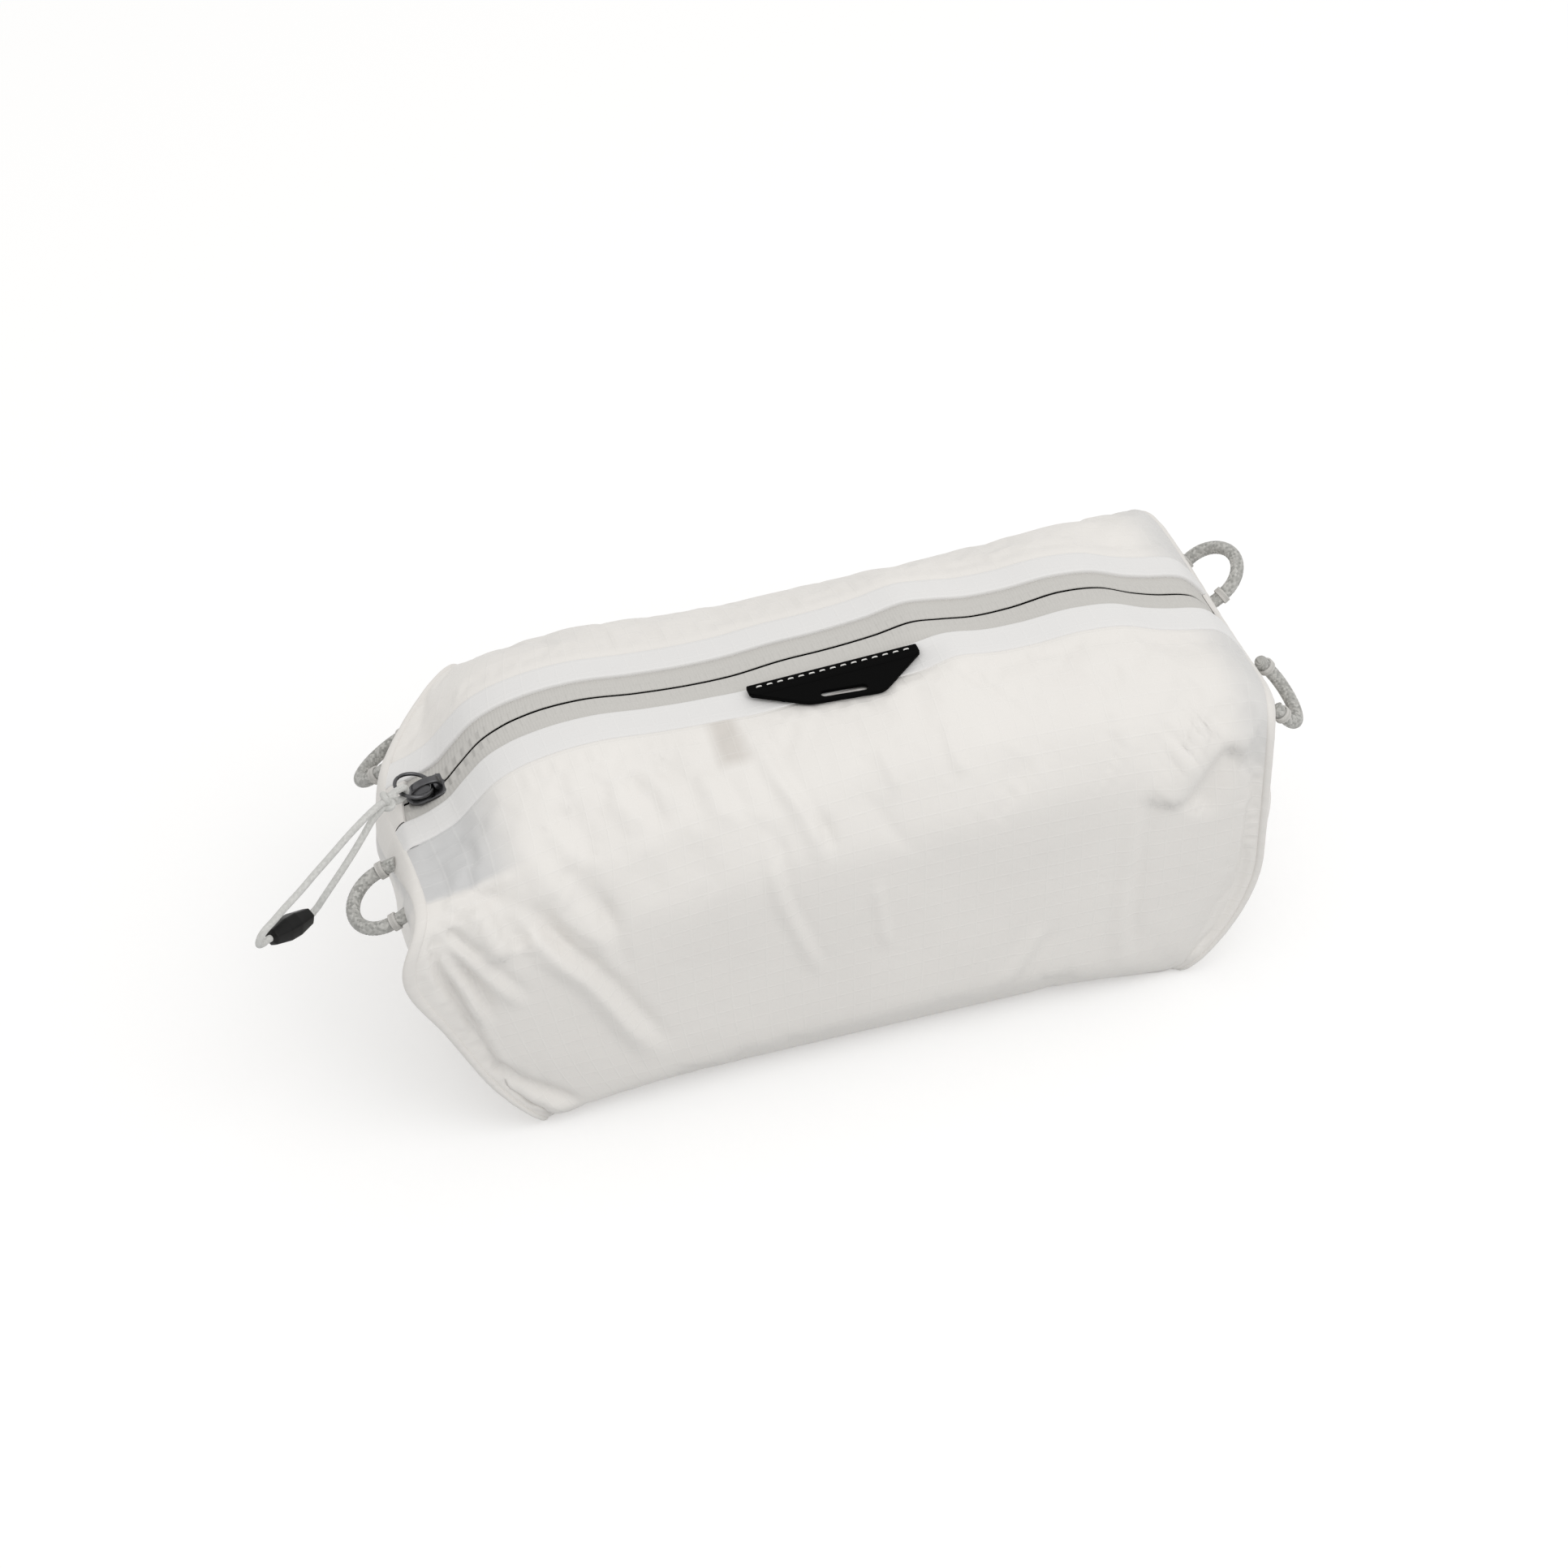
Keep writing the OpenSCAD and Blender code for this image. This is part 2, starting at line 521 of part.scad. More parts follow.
// ---- the corner loops ----
loop_x = half_l + binding_w + loop_cord_d / 2 + whip_t + loop_gap;
function loop_z(end) = crest_z(end * half_l) - loop_drop;
function base_x(end, y) = inset(end, y) - push(end, y, loop_z(end));
function corner_yaw(end, y) =
    atan((base_x(end, y + loop_r) - base_x(end, y - loop_r)) / (2 * loop_r));
module at_corner(sx, sy, lift) {
    y = sy * loop_y + (sx < 0 && sy > 0 ? loop_back_y : 0);
    translate([sx * loop_x + base_x(sx, y), y, loop_z(sx)])
        rotate([0, 0, -corner_yaw(sx, y)]) rotate([-sy * corner_turn, 0, 0])
        rotate([0, 0, sx > 0 ? 0 : 180]) rotate([0, -lift, 0]) children();
}

module cord_loop() {
    for (y = [-loop_r, loop_r]) translate([0, y, 0]) {
        sphere(loop_cord_d / 2);
        rotate([0, 90, 0]) cylinder(h = loop_leg, r = loop_cord_d / 2);
    }
    translate([loop_leg, 0, 0]) rotate([0, 0, -90])
        rotate_extrude(angle = 180, $fn = 48) translate([loop_r, 0]) circle(loop_cord_d / 2, $fn = 24);
}
module whipping() for (y = [-loop_r, loop_r]) translate([loop_leg - whip_l, y, 0]) rotate([0, 90, 0])
    difference() {
        cylinder(h = whip_l, r = loop_cord_d / 2 + whip_t);
        translate([0, 0, -1]) cylinder(h = whip_l + 2, r = loop_cord_d / 2);
    }

module left_front_loop() color(cord_grey) at_corner(-1, -1, lift_left_front) cord_loop();
module left_back_loop() color(cord_grey) at_corner(-1, 1, lift_left_back) cord_loop();
module right_front_loop() color(cord_grey) at_corner(1, -1, lift_right_front) cord_loop();
module right_back_loop() color(cord_grey) at_corner(1, 1, lift_right_back) cord_loop();
module left_front_whipping() color(tape_grey) at_corner(-1, -1, lift_left_front) whipping();
module left_back_whipping() color(tape_grey) at_corner(-1, 1, lift_left_back) whipping();
module right_front_whipping() color(tape_grey) at_corner(1, -1, lift_right_front) whipping();
module right_back_whipping() color(tape_grey) at_corner(1, 1, lift_right_back) whipping();

front_panel();
back_panel();
bottom_panel();
left_end_panel();
right_end_panel();
front_facing();
back_facing();
left_binding();
right_binding();
left_zip_flap();
right_zip_flap();
inner_label();
front_tape();
back_tape();
front_coil();
back_coil();
left_stops();
right_stop();
slider_body();
slider_bail();
pull_ring();
pull_cord();
pull_knot();
cord_end();
tab_head_strip();
hang_tab();
tab_stitches();
left_front_loop();
left_back_loop();
right_front_loop();
right_back_loop();
left_front_whipping();
left_back_whipping();
right_front_whipping();
right_back_whipping();
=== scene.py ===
import math

import bpy
import numpy as np
from mathutils import Matrix, Vector


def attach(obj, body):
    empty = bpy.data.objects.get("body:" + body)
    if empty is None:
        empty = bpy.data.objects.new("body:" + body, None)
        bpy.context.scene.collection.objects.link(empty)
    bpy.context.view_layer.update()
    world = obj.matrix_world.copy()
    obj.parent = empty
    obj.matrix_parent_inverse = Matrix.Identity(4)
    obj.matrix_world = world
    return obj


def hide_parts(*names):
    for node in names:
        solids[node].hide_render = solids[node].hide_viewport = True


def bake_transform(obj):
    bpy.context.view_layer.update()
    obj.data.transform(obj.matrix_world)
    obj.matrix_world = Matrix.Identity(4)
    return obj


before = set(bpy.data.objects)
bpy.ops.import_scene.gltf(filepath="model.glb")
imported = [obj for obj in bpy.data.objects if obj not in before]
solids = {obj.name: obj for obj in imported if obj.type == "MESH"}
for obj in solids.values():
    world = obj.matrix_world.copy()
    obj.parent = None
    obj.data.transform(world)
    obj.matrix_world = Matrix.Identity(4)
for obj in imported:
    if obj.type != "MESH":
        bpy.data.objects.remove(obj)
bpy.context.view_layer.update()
scene = bpy.context.scene
mm = 0.001
print("frame loaded,", len(solids), "solids")


# The camera looks down at the front from the left.
cameraView = {
    "azimuth": -18.4,
    "elevation": 40.9,
    "distance": 1.3,
    "target": (-0.0052, 0.0125, 0.05),
    "lens": 102.95,
}


def placeCamera():
    turn = math.radians(cameraView["azimuth"])
    rise = math.radians(cameraView["elevation"])
    target = Vector(cameraView["target"])
    back = Vector((math.sin(turn) * math.cos(rise), -math.cos(turn) * math.cos(rise), math.sin(rise)))
    lens = bpy.data.cameras.new("viewCamera")
    lens.lens = cameraView["lens"]
    lens.sensor_width = 36
    lens.clip_end = 20
    camera = bpy.data.objects.new("viewCamera", lens)
    camera.location = target + back * cameraView["distance"]
    camera.rotation_euler = (math.pi / 2 - rise, 0, turn)
    scene.collection.objects.link(camera)
    scene.camera = camera


placeCamera()


# Shared mesh helpers. A grid is an array of rows by columns of points.
def gridQuads(rows, columns, wrapRows=False, wrapColumns=False, first=0):
    # each quad joins a point with the next one along the row and the next row
    i = np.arange(rows if wrapRows else rows - 1)[:, None]
    j = np.arange(columns if wrapColumns else columns - 1)[None, :]
    i2, j2 = (i + 1) % rows, (j + 1) % columns
    corners = [i * columns + j, i * columns + j2, i2 * columns + j2, i2 * columns + j]
    return np.stack([np.broadcast_to(c, (i.size, j.size)) for c in corners], -1).reshape(-1, 4) + first


def meshFrom(name, points, faces, material, uv=None, smooth=True):
    # points and faces go in as whole arrays; uv holds one pair for each point
    points = np.asarray(points, float).reshape(-1, 3)
    faces = np.asarray(faces, np.int32)
    mesh = bpy.data.meshes.new(name)
    sides = faces.shape[1]
    mesh.vertices.add(len(points))
    mesh.vertices.foreach_set("co", points.astype(np.float32).ravel())
    mesh.loops.add(faces.size)
    mesh.loops.foreach_set("vertex_index", faces.ravel())
    mesh.polygons.add(len(faces))
    mesh.polygons.foreach_set("loop_start", np.arange(0, faces.size, sides, dtype=np.int32))
    mesh.polygons.foreach_set("use_smooth", np.full(len(faces), smooth))
    mesh.update(calc_edges=True)
    if uv is not None:
        layer = mesh.uv_layers.new(name="cloth")
        layer.data.foreach_set("uv", np.asarray(uv, np.float32).reshape(-1, 2)[faces.ravel()].ravel())
    mesh.validate()
    mesh.materials.append(material)
    piece = bpy.data.objects.new(name, mesh)
    scene.collection.objects.link(piece)
    return piece


def unitRows(v):
    return v / np.maximum(np.linalg.norm(v, axis=-1, keepdims=True), 1e-12)


def curveThrough(points, spacing):
    # a smooth curve through the points, resampled at even steps: each span is a
    # cubic whose slopes are half the step between the neighbouring points
    p = np.asarray(points, float)
    slope = np.gradient(p, axis=0)
    t = np.linspace(0, len(p) - 1, len(p) * 24)
    k = np.minimum(t.astype(int), len(p) - 2)
    f = (t - k)[:, None]
    line = ((2 * f**3 - 3 * f**2 + 1) * p[k] + (f**3 - 2 * f**2 + f) * slope[k]
            + (3 * f**2 - 2 * f**3) * p[k + 1] + (f**3 - f**2) * slope[k + 1])
    run = np.concatenate([[0], np.cumsum(np.linalg.norm(np.diff(line, axis=0), axis=1))])
    even = np.linspace(0, run[-1], max(3, int(round(run[-1] / spacing)) + 1))
    return np.stack([np.interp(even, run, line[:, c]) for c in range(3)], 1)


def runOf(path):
    return np.concatenate([[0], np.cumsum(np.linalg.norm(np.diff(path, axis=0), axis=1))])


def tubeGrid(path, radius, sides, upright=(0.2, -1, 0.3), braid=None):
    # a circle carried along the path; braid lifts crossing strands out of it:
    # the height is the sine of one family of diagonals or, on every other
    # crossing, of the other family
    along = unitRows(np.gradient(path, axis=0))
    side = unitRows(np.cross(along, np.asarray(upright, float)))
    up = np.cross(along, side)
    angle = np.arange(sides) * 2 * np.pi / sides
    run = runOf(path)
    r = np.broadcast_to(np.asarray(radius, float).reshape(-1, 1), (len(path), sides)).copy()
    if braid:
        a = braid["strands"] * angle[None, :] / 2 + np.pi * run[:, None] / braid["pitch"]
        b = braid["strands"] * angle[None, :] / 2 - np.pi * run[:, None] / braid["pitch"]
        over = (np.floor(a / np.pi) + np.floor(b / np.pi)) % 2 < 1
        r += braid["relief"] * (np.where(over, np.abs(np.sin(a)), np.abs(np.sin(b))) - 0.6)
    spoke = np.cos(angle)[None, :, None] * side[:, None] + np.sin(angle)[None, :, None] * up[:, None]
    return path[:, None] + r[..., None] * spoke, run


def tubePiece(name, path, radius, sides, material, upright=(0.2, -1, 0.3), braid=None):
    grid, run = tubeGrid(path, radius, sides, upright, braid)
    rows = len(path)
    ends = np.array([path[0], path[-1]])
    quads = gridQuads(rows, sides, wrapColumns=True)[:, ::-1]
    k = np.arange(sides)
    k2 = (k + 1) % sides
    last = (rows - 1) * sides
    caps = np.concatenate([
        np.stack([np.full(sides, rows * sides), k, k2, k2], 1)[:, :3],
        np.stack([np.full(sides, rows * sides + 1), last + k2, last + k, last + k], 1)[:, :3]])
    points = np.concatenate([grid.reshape(-1, 3), ends])
    triangles = np.concatenate([quads[:, [0, 1, 2]], quads[:, [0, 2, 3]], caps])
    uv = np.concatenate([
        np.stack(np.broadcast_arrays(run[:, None], np.arange(sides)[None, :] / sides), -1).reshape(-1, 2),
        [[0, 0], [run[-1], 0]]])
    piece = meshFrom(name, points, triangles, material, uv)
    return piece


# Materials.
def newMaterial(name):
    material = bpy.data.materials.new(name)
    material.use_nodes = True
    return material, material.node_tree, material.node_tree.nodes["Principled BSDF"]


def addNode(tree, kind, inputs=None, **settings):
    node = tree.nodes.new(kind)
    for key, value in settings.items():
        setattr(node, key, value)
    for key, value in (inputs or {}).items():
        if isinstance(value, bpy.types.NodeSocket):
            tree.links.new(value, node.inputs[key])
        else:
            node.inputs[key].default_value = value
    return node


def srgb(r, g, b):
    # screen values 0 to 255 as the linear colour that the shader takes
    c = np.array([r, g, b], float) / 255
    return tuple(np.where(c <= 0.04045, c / 12.92, ((c + 0.055) / 1.055) ** 2.4)) + (1.0,)


def mathNode(tree, operation, *values):
    node = addNode(tree, "ShaderNodeMath", operation=operation)
    for index, value in enumerate(values):
        if isinstance(value, bpy.types.NodeSocket):
            tree.links.new(value, node.inputs[index])
        else:
            node.inputs[index].default_value = value
    return node.outputs[0]


def mixColor(tree, factor, a, b, blend="MIX"):
    node = addNode(tree, "ShaderNodeMix", data_type="RGBA", blend_type=blend)
    for index, value in ((0, factor), (6, a), (7, b)):
        if isinstance(value, bpy.types.NodeSocket):
            tree.links.new(value, node.inputs[index])
        else:
            node.inputs[index].default_value = value
    return node.outputs[2]


ripstop = {
    "gridStep": 0.0052,
    "lineWidth": 0.07,
    "warm": srgb(227, 224, 220),
    # painted shade of the empty hollow showing through the thin cloth where nothing backs it
    "hollowShadeColor": srgb(200, 200, 200),
    "line": srgb(238, 237, 234),
    "band": srgb(223, 222, 221),
    "roughness": 0.55,
}


def ripstopGrid(tree, uv, step, width):
    # thin ridges where either coordinate passes a whole number of steps
    parts = addNode(tree, "ShaderNodeSeparateXYZ", {0: uv})
    ridges = []
    for axis in ("X", "Y"):
        cell = mathNode(tree, "FRACT", mathNode(tree, "DIVIDE", parts.outputs[axis], step))
        away = mathNode(tree, "ABSOLUTE", mathNode(tree, "SUBTRACT", cell, 0.5))
        ridges.append(mathNode(tree, "SMOOTH_MAX", mathNode(tree, "DIVIDE",
                      mathNode(tree, "SUBTRACT", away, 0.5 - width), width), 0.0, 0.2))
    return mathNode(tree, "MAXIMUM", *ridges)


def fabricMaterial(name, base, withPaintedShade=False, gridDepth=0.12, gain=1.0):
    material, tree, shader = newMaterial(name)
    uv = addNode(tree, "ShaderNodeUVMap", uv_map="cloth").outputs[0]
    place = addNode(tree, "ShaderNodeTexCoord").outputs["Object"]
    grid = ripstopGrid(tree, uv, ripstop["gridStep"], ripstop["lineWidth"])
    cloud = addNode(tree, "ShaderNodeTexNoise", {"Vector": place, "Scale": 22.0, "Detail": 3.0})
    crumple = addNode(tree, "ShaderNodeTexNoise",
                      {"Vector": place, "Scale": 60.0, "Detail": 4.0, "Roughness": 0.5, "Distortion": 0.4})
    weave = addNode(tree, "ShaderNodeTexNoise", {"Vector": place, "Scale": 2600.0, "Detail": 1.0})
    color = base
    if withPaintedShade:
        # painted shade: the cloth turns greyer where the empty hollow behind it shows through
        hollowClear = addNode(tree, "ShaderNodeAttribute", attribute_name="clearOfHollowShade").outputs["Fac"]
        color = mixColor(tree, hollowClear, ripstop["hollowShadeColor"], base)
        # painted shadow of the inner label, seen through the cloth
        labelShadow = addNode(tree, "ShaderNodeAttribute", attribute_name="labelShadow").outputs["Fac"]
        color = mixColor(tree, labelShadow, color, mixColor(tree, 1.0, color, srgb(232, 230, 228), "MULTIPLY"))
    shade = mathNode(tree, "MULTIPLY_ADD", cloud.outputs["Fac"], 0.10 * gain, 1 - 0.05 * gain)
    gray = addNode(tree, "ShaderNodeCombineColor", {0: shade, 1: shade, 2: shade}).outputs[0]
    color = mixColor(tree, 1.0, color, gray, "MULTIPLY")
    color = mixColor(tree, mathNode(tree, "MULTIPLY", grid, 0.13), color, ripstop["line"])
    tree.links.new(color, shader.inputs["Base Color"])
    shader.inputs["Roughness"].default_value = ripstop["roughness"]
    shader.inputs["Specular IOR Level"].default_value = 0.35
    shader.inputs["Sheen Weight"].default_value = 0.1
    height = mathNode(tree, "ADD", mathNode(tree, "MULTIPLY", grid, gridDepth),
                      mathNode(tree, "MULTIPLY", crumple.outputs["Fac"], 1.1 * gain))
    height = mathNode(tree, "ADD", height, mathNode(tree, "MULTIPLY", weave.outputs["Fac"], 0.05))
    bump = addNode(tree, "ShaderNodeBump", {"Height": height, "Strength": 0.55, "Distance": 0.0008})
    tree.links.new(bump.outputs[0], shader.inputs["Normal"])
    return material


def tapeMaterial():
    # flat knitted tape: fine ribs across it, and the coil's turns pressing through near the middle, with
    # painted shade in the hollows between the turns
    material, tree, shader = newMaterial("zipTape")
    uv = addNode(tree, "ShaderNodeUVMap", uv_map="cloth").outputs[0]
    parts = addNode(tree, "ShaderNodeSeparateXYZ", {0: uv})
    across = mathNode(tree, "ABSOLUTE", parts.outputs["Y"])
    ribs = mathNode(tree, "SINE", mathNode(tree, "MULTIPLY", parts.outputs["X"], 2 * math.pi / 0.0009))
    turns = mathNode(tree, "SINE", mathNode(tree, "MULTIPLY", parts.outputs["X"], 2 * math.pi / 0.0024))
    nearCoil = mathNode(tree, "MULTIPLY", mathNode(tree, "LESS_THAN", across, 0.0036),
                        mathNode(tree, "GREATER_THAN", across, 0.0008))
    toothy = addNode(tree, "ShaderNodeAttribute", attribute_name="toothy").outputs["Fac"]
    pressed = mathNode(tree, "MULTIPLY", mathNode(tree, "MULTIPLY", turns, nearCoil), toothy)
    grain = addNode(tree, "ShaderNodeTexNoise",
                    {"Vector": addNode(tree, "ShaderNodeTexCoord").outputs["Object"],
                     "Scale": 900.0, "Detail": 2.0})
    color = mixColor(tree, mathNode(tree, "MULTIPLY", grain.outputs["Fac"], 0.35),
                     srgb(200, 198, 194), srgb(183, 181, 177))
    # painted shade: darker in the low parts between the coil's turns
    color = mixColor(tree, mathNode(tree, "MULTIPLY_ADD", pressed, -0.1, 0.0), color, srgb(150, 148, 144))
    tree.links.new(color, shader.inputs["Base Color"])
    shader.inputs["Roughness"].default_value = 0.7
    shader.inputs["Specular IOR Level"].default_value = 0.25
    height = mathNode(tree, "ADD", mathNode(tree, "MULTIPLY", ribs, 0.12),
                      mathNode(tree, "MULTIPLY", pressed, 1.1))
    bump = addNode(tree, "ShaderNodeBump", {"Height": height, "Strength": 0.5, "Distance": 0.0005})
    tree.links.new(bump.outputs[0], shader.inputs["Normal"])
    return material


def cordMaterial(name, light, dark, strands, pitch):
    # strands of two greys: each crossing takes the light or the dark one by its place in the braid
    material, tree, shader = newMaterial(name)
    uv = addNode(tree, "ShaderNodeUVMap", uv_map="cloth").outputs[0]
    parts = addNode(tree, "ShaderNodeSeparateXYZ", {0: uv})
    around = mathNode(tree, "MULTIPLY", parts.outputs["Y"], strands)
    run = mathNode(tree, "DIVIDE", parts.outputs["X"], pitch)
    first = mathNode(tree, "FLOOR", mathNode(tree, "ADD", around, run))
    second = mathNode(tree, "FLOOR", mathNode(tree, "SUBTRACT", around, run))
    cell = addNode(tree, "ShaderNodeCombineXYZ", {0: first, 1: second})
    speck = addNode(tree, "ShaderNodeTexWhiteNoise", {"Vector": cell.outputs[0]}, noise_dimensions="2D")
    fibre = addNode(tree, "ShaderNodeTexNoise",
                    {"Vector": addNode(tree, "ShaderNodeTexCoord").outputs["Object"],
                     "Scale": 1800.0, "Detail": 2.0})
    color = mixColor(tree, speck.outputs["Value"], dark, light)
    color = mixColor(tree, mathNode(tree, "MULTIPLY", fibre.outputs["Fac"], 0.3), color, light)
    tree.links.new(color, shader.inputs["Base Color"])
    shader.inputs["Roughness"].default_value = 0.75
    shader.inputs["Sheen Weight"].default_value = 0.15
    bump = addNode(tree, "ShaderNodeBump",
                   {"Height": fibre.outputs["Fac"], "Strength": 0.4, "Distance": 0.0002})
    tree.links.new(bump.outputs[0], shader.inputs["Normal"])
    return material


def hardMaterial(name, color, wear, roughness, metallic, grainScale, grainDepth, shine=0.5):
    material, tree, shader = newMaterial(name)
    place = addNode(tree, "ShaderNodeTexCoord").outputs["Object"]
    grain = addNode(tree, "ShaderNodeTexNoise", {"Vector": place, "Scale": grainScale, "Detail": 3.0})
    patch = addNode(tree, "ShaderNodeTexNoise", {"Vector": place, "Scale": 300.0, "Detail": 2.0})
    tree.links.new(mixColor(tree, patch.outputs["Fac"], color, wear), shader.inputs["Base Color"])
    spread = mathNode(tree, "MULTIPLY_ADD", patch.outputs["Fac"], 0.16, roughness - 0.08)
    tree.links.new(spread, shader.inputs["Roughness"])
    shader.inputs["Metallic"].default_value = metallic
    shader.inputs["Specular IOR Level"].default_value = shine
    bump = addNode(tree, "ShaderNodeBump",
                   {"Height": grain.outputs["Fac"], "Strength": 0.35, "Distance": grainDepth})
    tree.links.new(bump.outputs[0], shader.inputs["Normal"])
    return material


shellCloth = fabricMaterial("shellFabric", ripstop["warm"], withPaintedShade=True)
endCloth = fabricMaterial("endFabric", ripstop["warm"], withPaintedShade=True)
bandCloth = fabricMaterial("facingFabric", ripstop["band"], gridDepth=0.1, gain=0.5)
bindingCloth = fabricMaterial("bindingFabric", srgb(222, 219, 215), gridDepth=0.05, gain=0.5)
tapeKnit = tapeMaterial()
loopCord = cordMaterial("loopCordBraid", srgb(196, 195, 191), srgb(138, 138, 134), 12, 0.0011)
pullBraid = cordMaterial("pullCordBraid", srgb(206, 206, 203), srgb(188, 188, 185), 8, 0.0009)
whipThread = cordMaterial("whippingThread", srgb(205, 203, 199), srgb(176, 174, 170), 2, 0.0004)
blackPlastic = hardMaterial("cordEndPlastic", srgb(10, 10, 10), srgb(17, 17, 17),
                            0.42, 0.0, 2500.0, 0.00005, 0.22)
rubber = hardMaterial("tabRubber", srgb(4, 4, 4), srgb(8, 8, 8), 0.7, 0.0, 1900.0, 0.00012, 0.04)
gunmetal = hardMaterial("zipMetal", srgb(112, 112, 114), srgb(74, 74, 76), 0.22, 1.0, 1400.0, 0.00004)
thread = hardMaterial("stitchThread", srgb(232, 231, 228), srgb(214, 213, 210), 0.7, 0.0, 3000.0, 0.0001)
# near black: painted shade in the crack between the tapes
gapShade = hardMaterial("zipGapShade", srgb(3, 3, 3), srgb(6, 6, 6), 0.8, 0.0, 900.0, 0.0001, 0.0)
labelCloth = hardMaterial("labelCloth", srgb(224, 222, 218), srgb(214, 212, 208), 0.8, 0.0, 900.0, 0.0001)
coilPlastic = hardMaterial("zipCoil", srgb(190, 188, 184), srgb(170, 168, 164), 0.5, 0.0, 900.0, 0.0001)
print("materials made")


# The pull cord comes first of the pieces: one cord from the knot through the ring, back
# through the knot, out to the moulded end, through it and back to the knot.
pull = {
    "diameter": 0.002,
    "knot": (-126, -7, 93),
    "ringLoop": [(-125.2, -6.4, 94), (-123.6, -5.1, 93.9), (-122.2, -3.9, 93.4), (-121.1, -3.1, 93),
                 (-120.4, -2.5, 92.5), (-120, -2.1, 91.8), (-119.8, -2, 91), (-120, -2, 90.1),
                 (-120.6, -2.4, 89.4), (-121.5, -3, 89.1), (-122.6, -3.9, 89.5), (-123.9, -5.1, 90.6),
                 (-125.2, -6.4, 92)],
    "outward": [(-128, -8.2, 93.6), (-131, -10.4, 93.8), (-135, -13.5, 93.5), (-140.5, -17.8, 92.6),
                (-146, -22.2, 91.4), (-151.5, -26.5, 90.2), (-157, -31, 89), (-162.5, -35.3, 88),
                (-166, -38.1, 87.2), (-168.5, -40, 86.7), (-170.1, -41.1, 85.9), (-171, -41.5, 84.4),
                (-171.2, -41.1, 82.7), (-170.6, -40, 81.4), (-169.3, -38.6, 80.5), (-167.3, -37, 80.1)],
    "backward": [(-154.4, -27.2, 76.2), (-153.1, -26.2, 76.1), (-151.6, -25.5, 77), (-149.6, -24.9, 79.3),
                 (-146.4, -23.2, 82), (-142.7, -20.6, 84.4), (-138.7, -17.2, 86.5), (-135.2, -13.9, 88.3),
                 (-132, -10.8, 90), (-129.4, -9, 91.3), (-127.5, -8, 92.2)],
    "endWidth": 0.007,
    "endTip": 0.0046,
}


def makePull():
    route = np.array([pull["knot"]] + pull["ringLoop"] + pull["outward"] + pull["backward"]) * mm
    path = curveThrough(route, 0.00025)
    cord = tubePiece("pullCord", path, pull["diameter"] / 2 * 0.97, 32, pullBraid,
                     braid={"strands": 8, "pitch": 0.0009, "relief": 0.00007})
    # the knot: a trefoil, whose three lobes are sines of one and two turns
    t = np.linspace(0, 2 * np.pi, 241)
    trefoil = np.stack([np.sin(t) + 2 * np.sin(2 * t), np.cos(t) - 2 * np.cos(2 * t),
                        -1.3 * np.sin(3 * t)], 1)
    spin = np.array(Matrix.Rotation(math.radians(35), 3, "Y") @ Matrix.Rotation(math.radians(40), 3, "X"))
    knotPath = trefoil * 0.00073 @ spin.T + np.array(pull["knot"]) * mm
    knot = tubePiece("pullKnot", knotPath, 0.00095, 24, pullBraid, upright=(0.31, 0.22, 1),
                     braid={"strands": 8, "pitch": 0.0009, "relief": 0.00006})
    # the moulded end: a rounded hexagon that swells in the middle and closes at both tips
    a = np.array(pull["outward"][-1]) * mm
    b = np.array(pull["backward"][0]) * mm
    axis = (b - a) / np.linalg.norm(b - a)
    share = np.concatenate([np.linspace(0, 0.05, 8), np.linspace(0.06, 0.94, 40), np.linspace(0.95, 1, 8)])
    tip, wide = pull["endTip"] / 2, pull["endWidth"] / 2
    radius = np.interp(share, [0, 0.35, 0.6, 1], [tip, wide, wide, tip])
    edge = np.minimum(share, 1 - share) / 0.05
    radius = radius * np.sqrt(np.clip(1 - (1 - np.minimum(edge, 1)) ** 2, 0, 1)) + 1e-6
    angle = np.arange(48) * 2 * np.pi / 48
    hexagon = (1 / np.maximum.reduce([np.cos(angle - k * np.pi / 3) for k in range(6)])) ** 0.8 * 0.93
    side = np.cross(axis, [0, 0, 1.0])
    side /= np.linalg.norm(side)
    up = np.cross(side, axis)
    spoke = (np.cos(angle)[:, None] * side + np.sin(angle)[:, None] * up) * hexagon[:, None]
    grid = (a + (b - a) * share[:, None])[:, None] + radius[:, None, None] * spoke[None]
    end = meshFrom("cordEnd", grid, gridQuads(len(share), 48, wrapColumns=True), blackPlastic)
    for piece in (cord, knot, end):
        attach(piece, "pull")
    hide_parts("pull_cord")
    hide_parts("pull_knot")
    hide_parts("cord_end")
    print("pull cord", round(float(runOf(path)[-1]), 4), "m")


makePull()


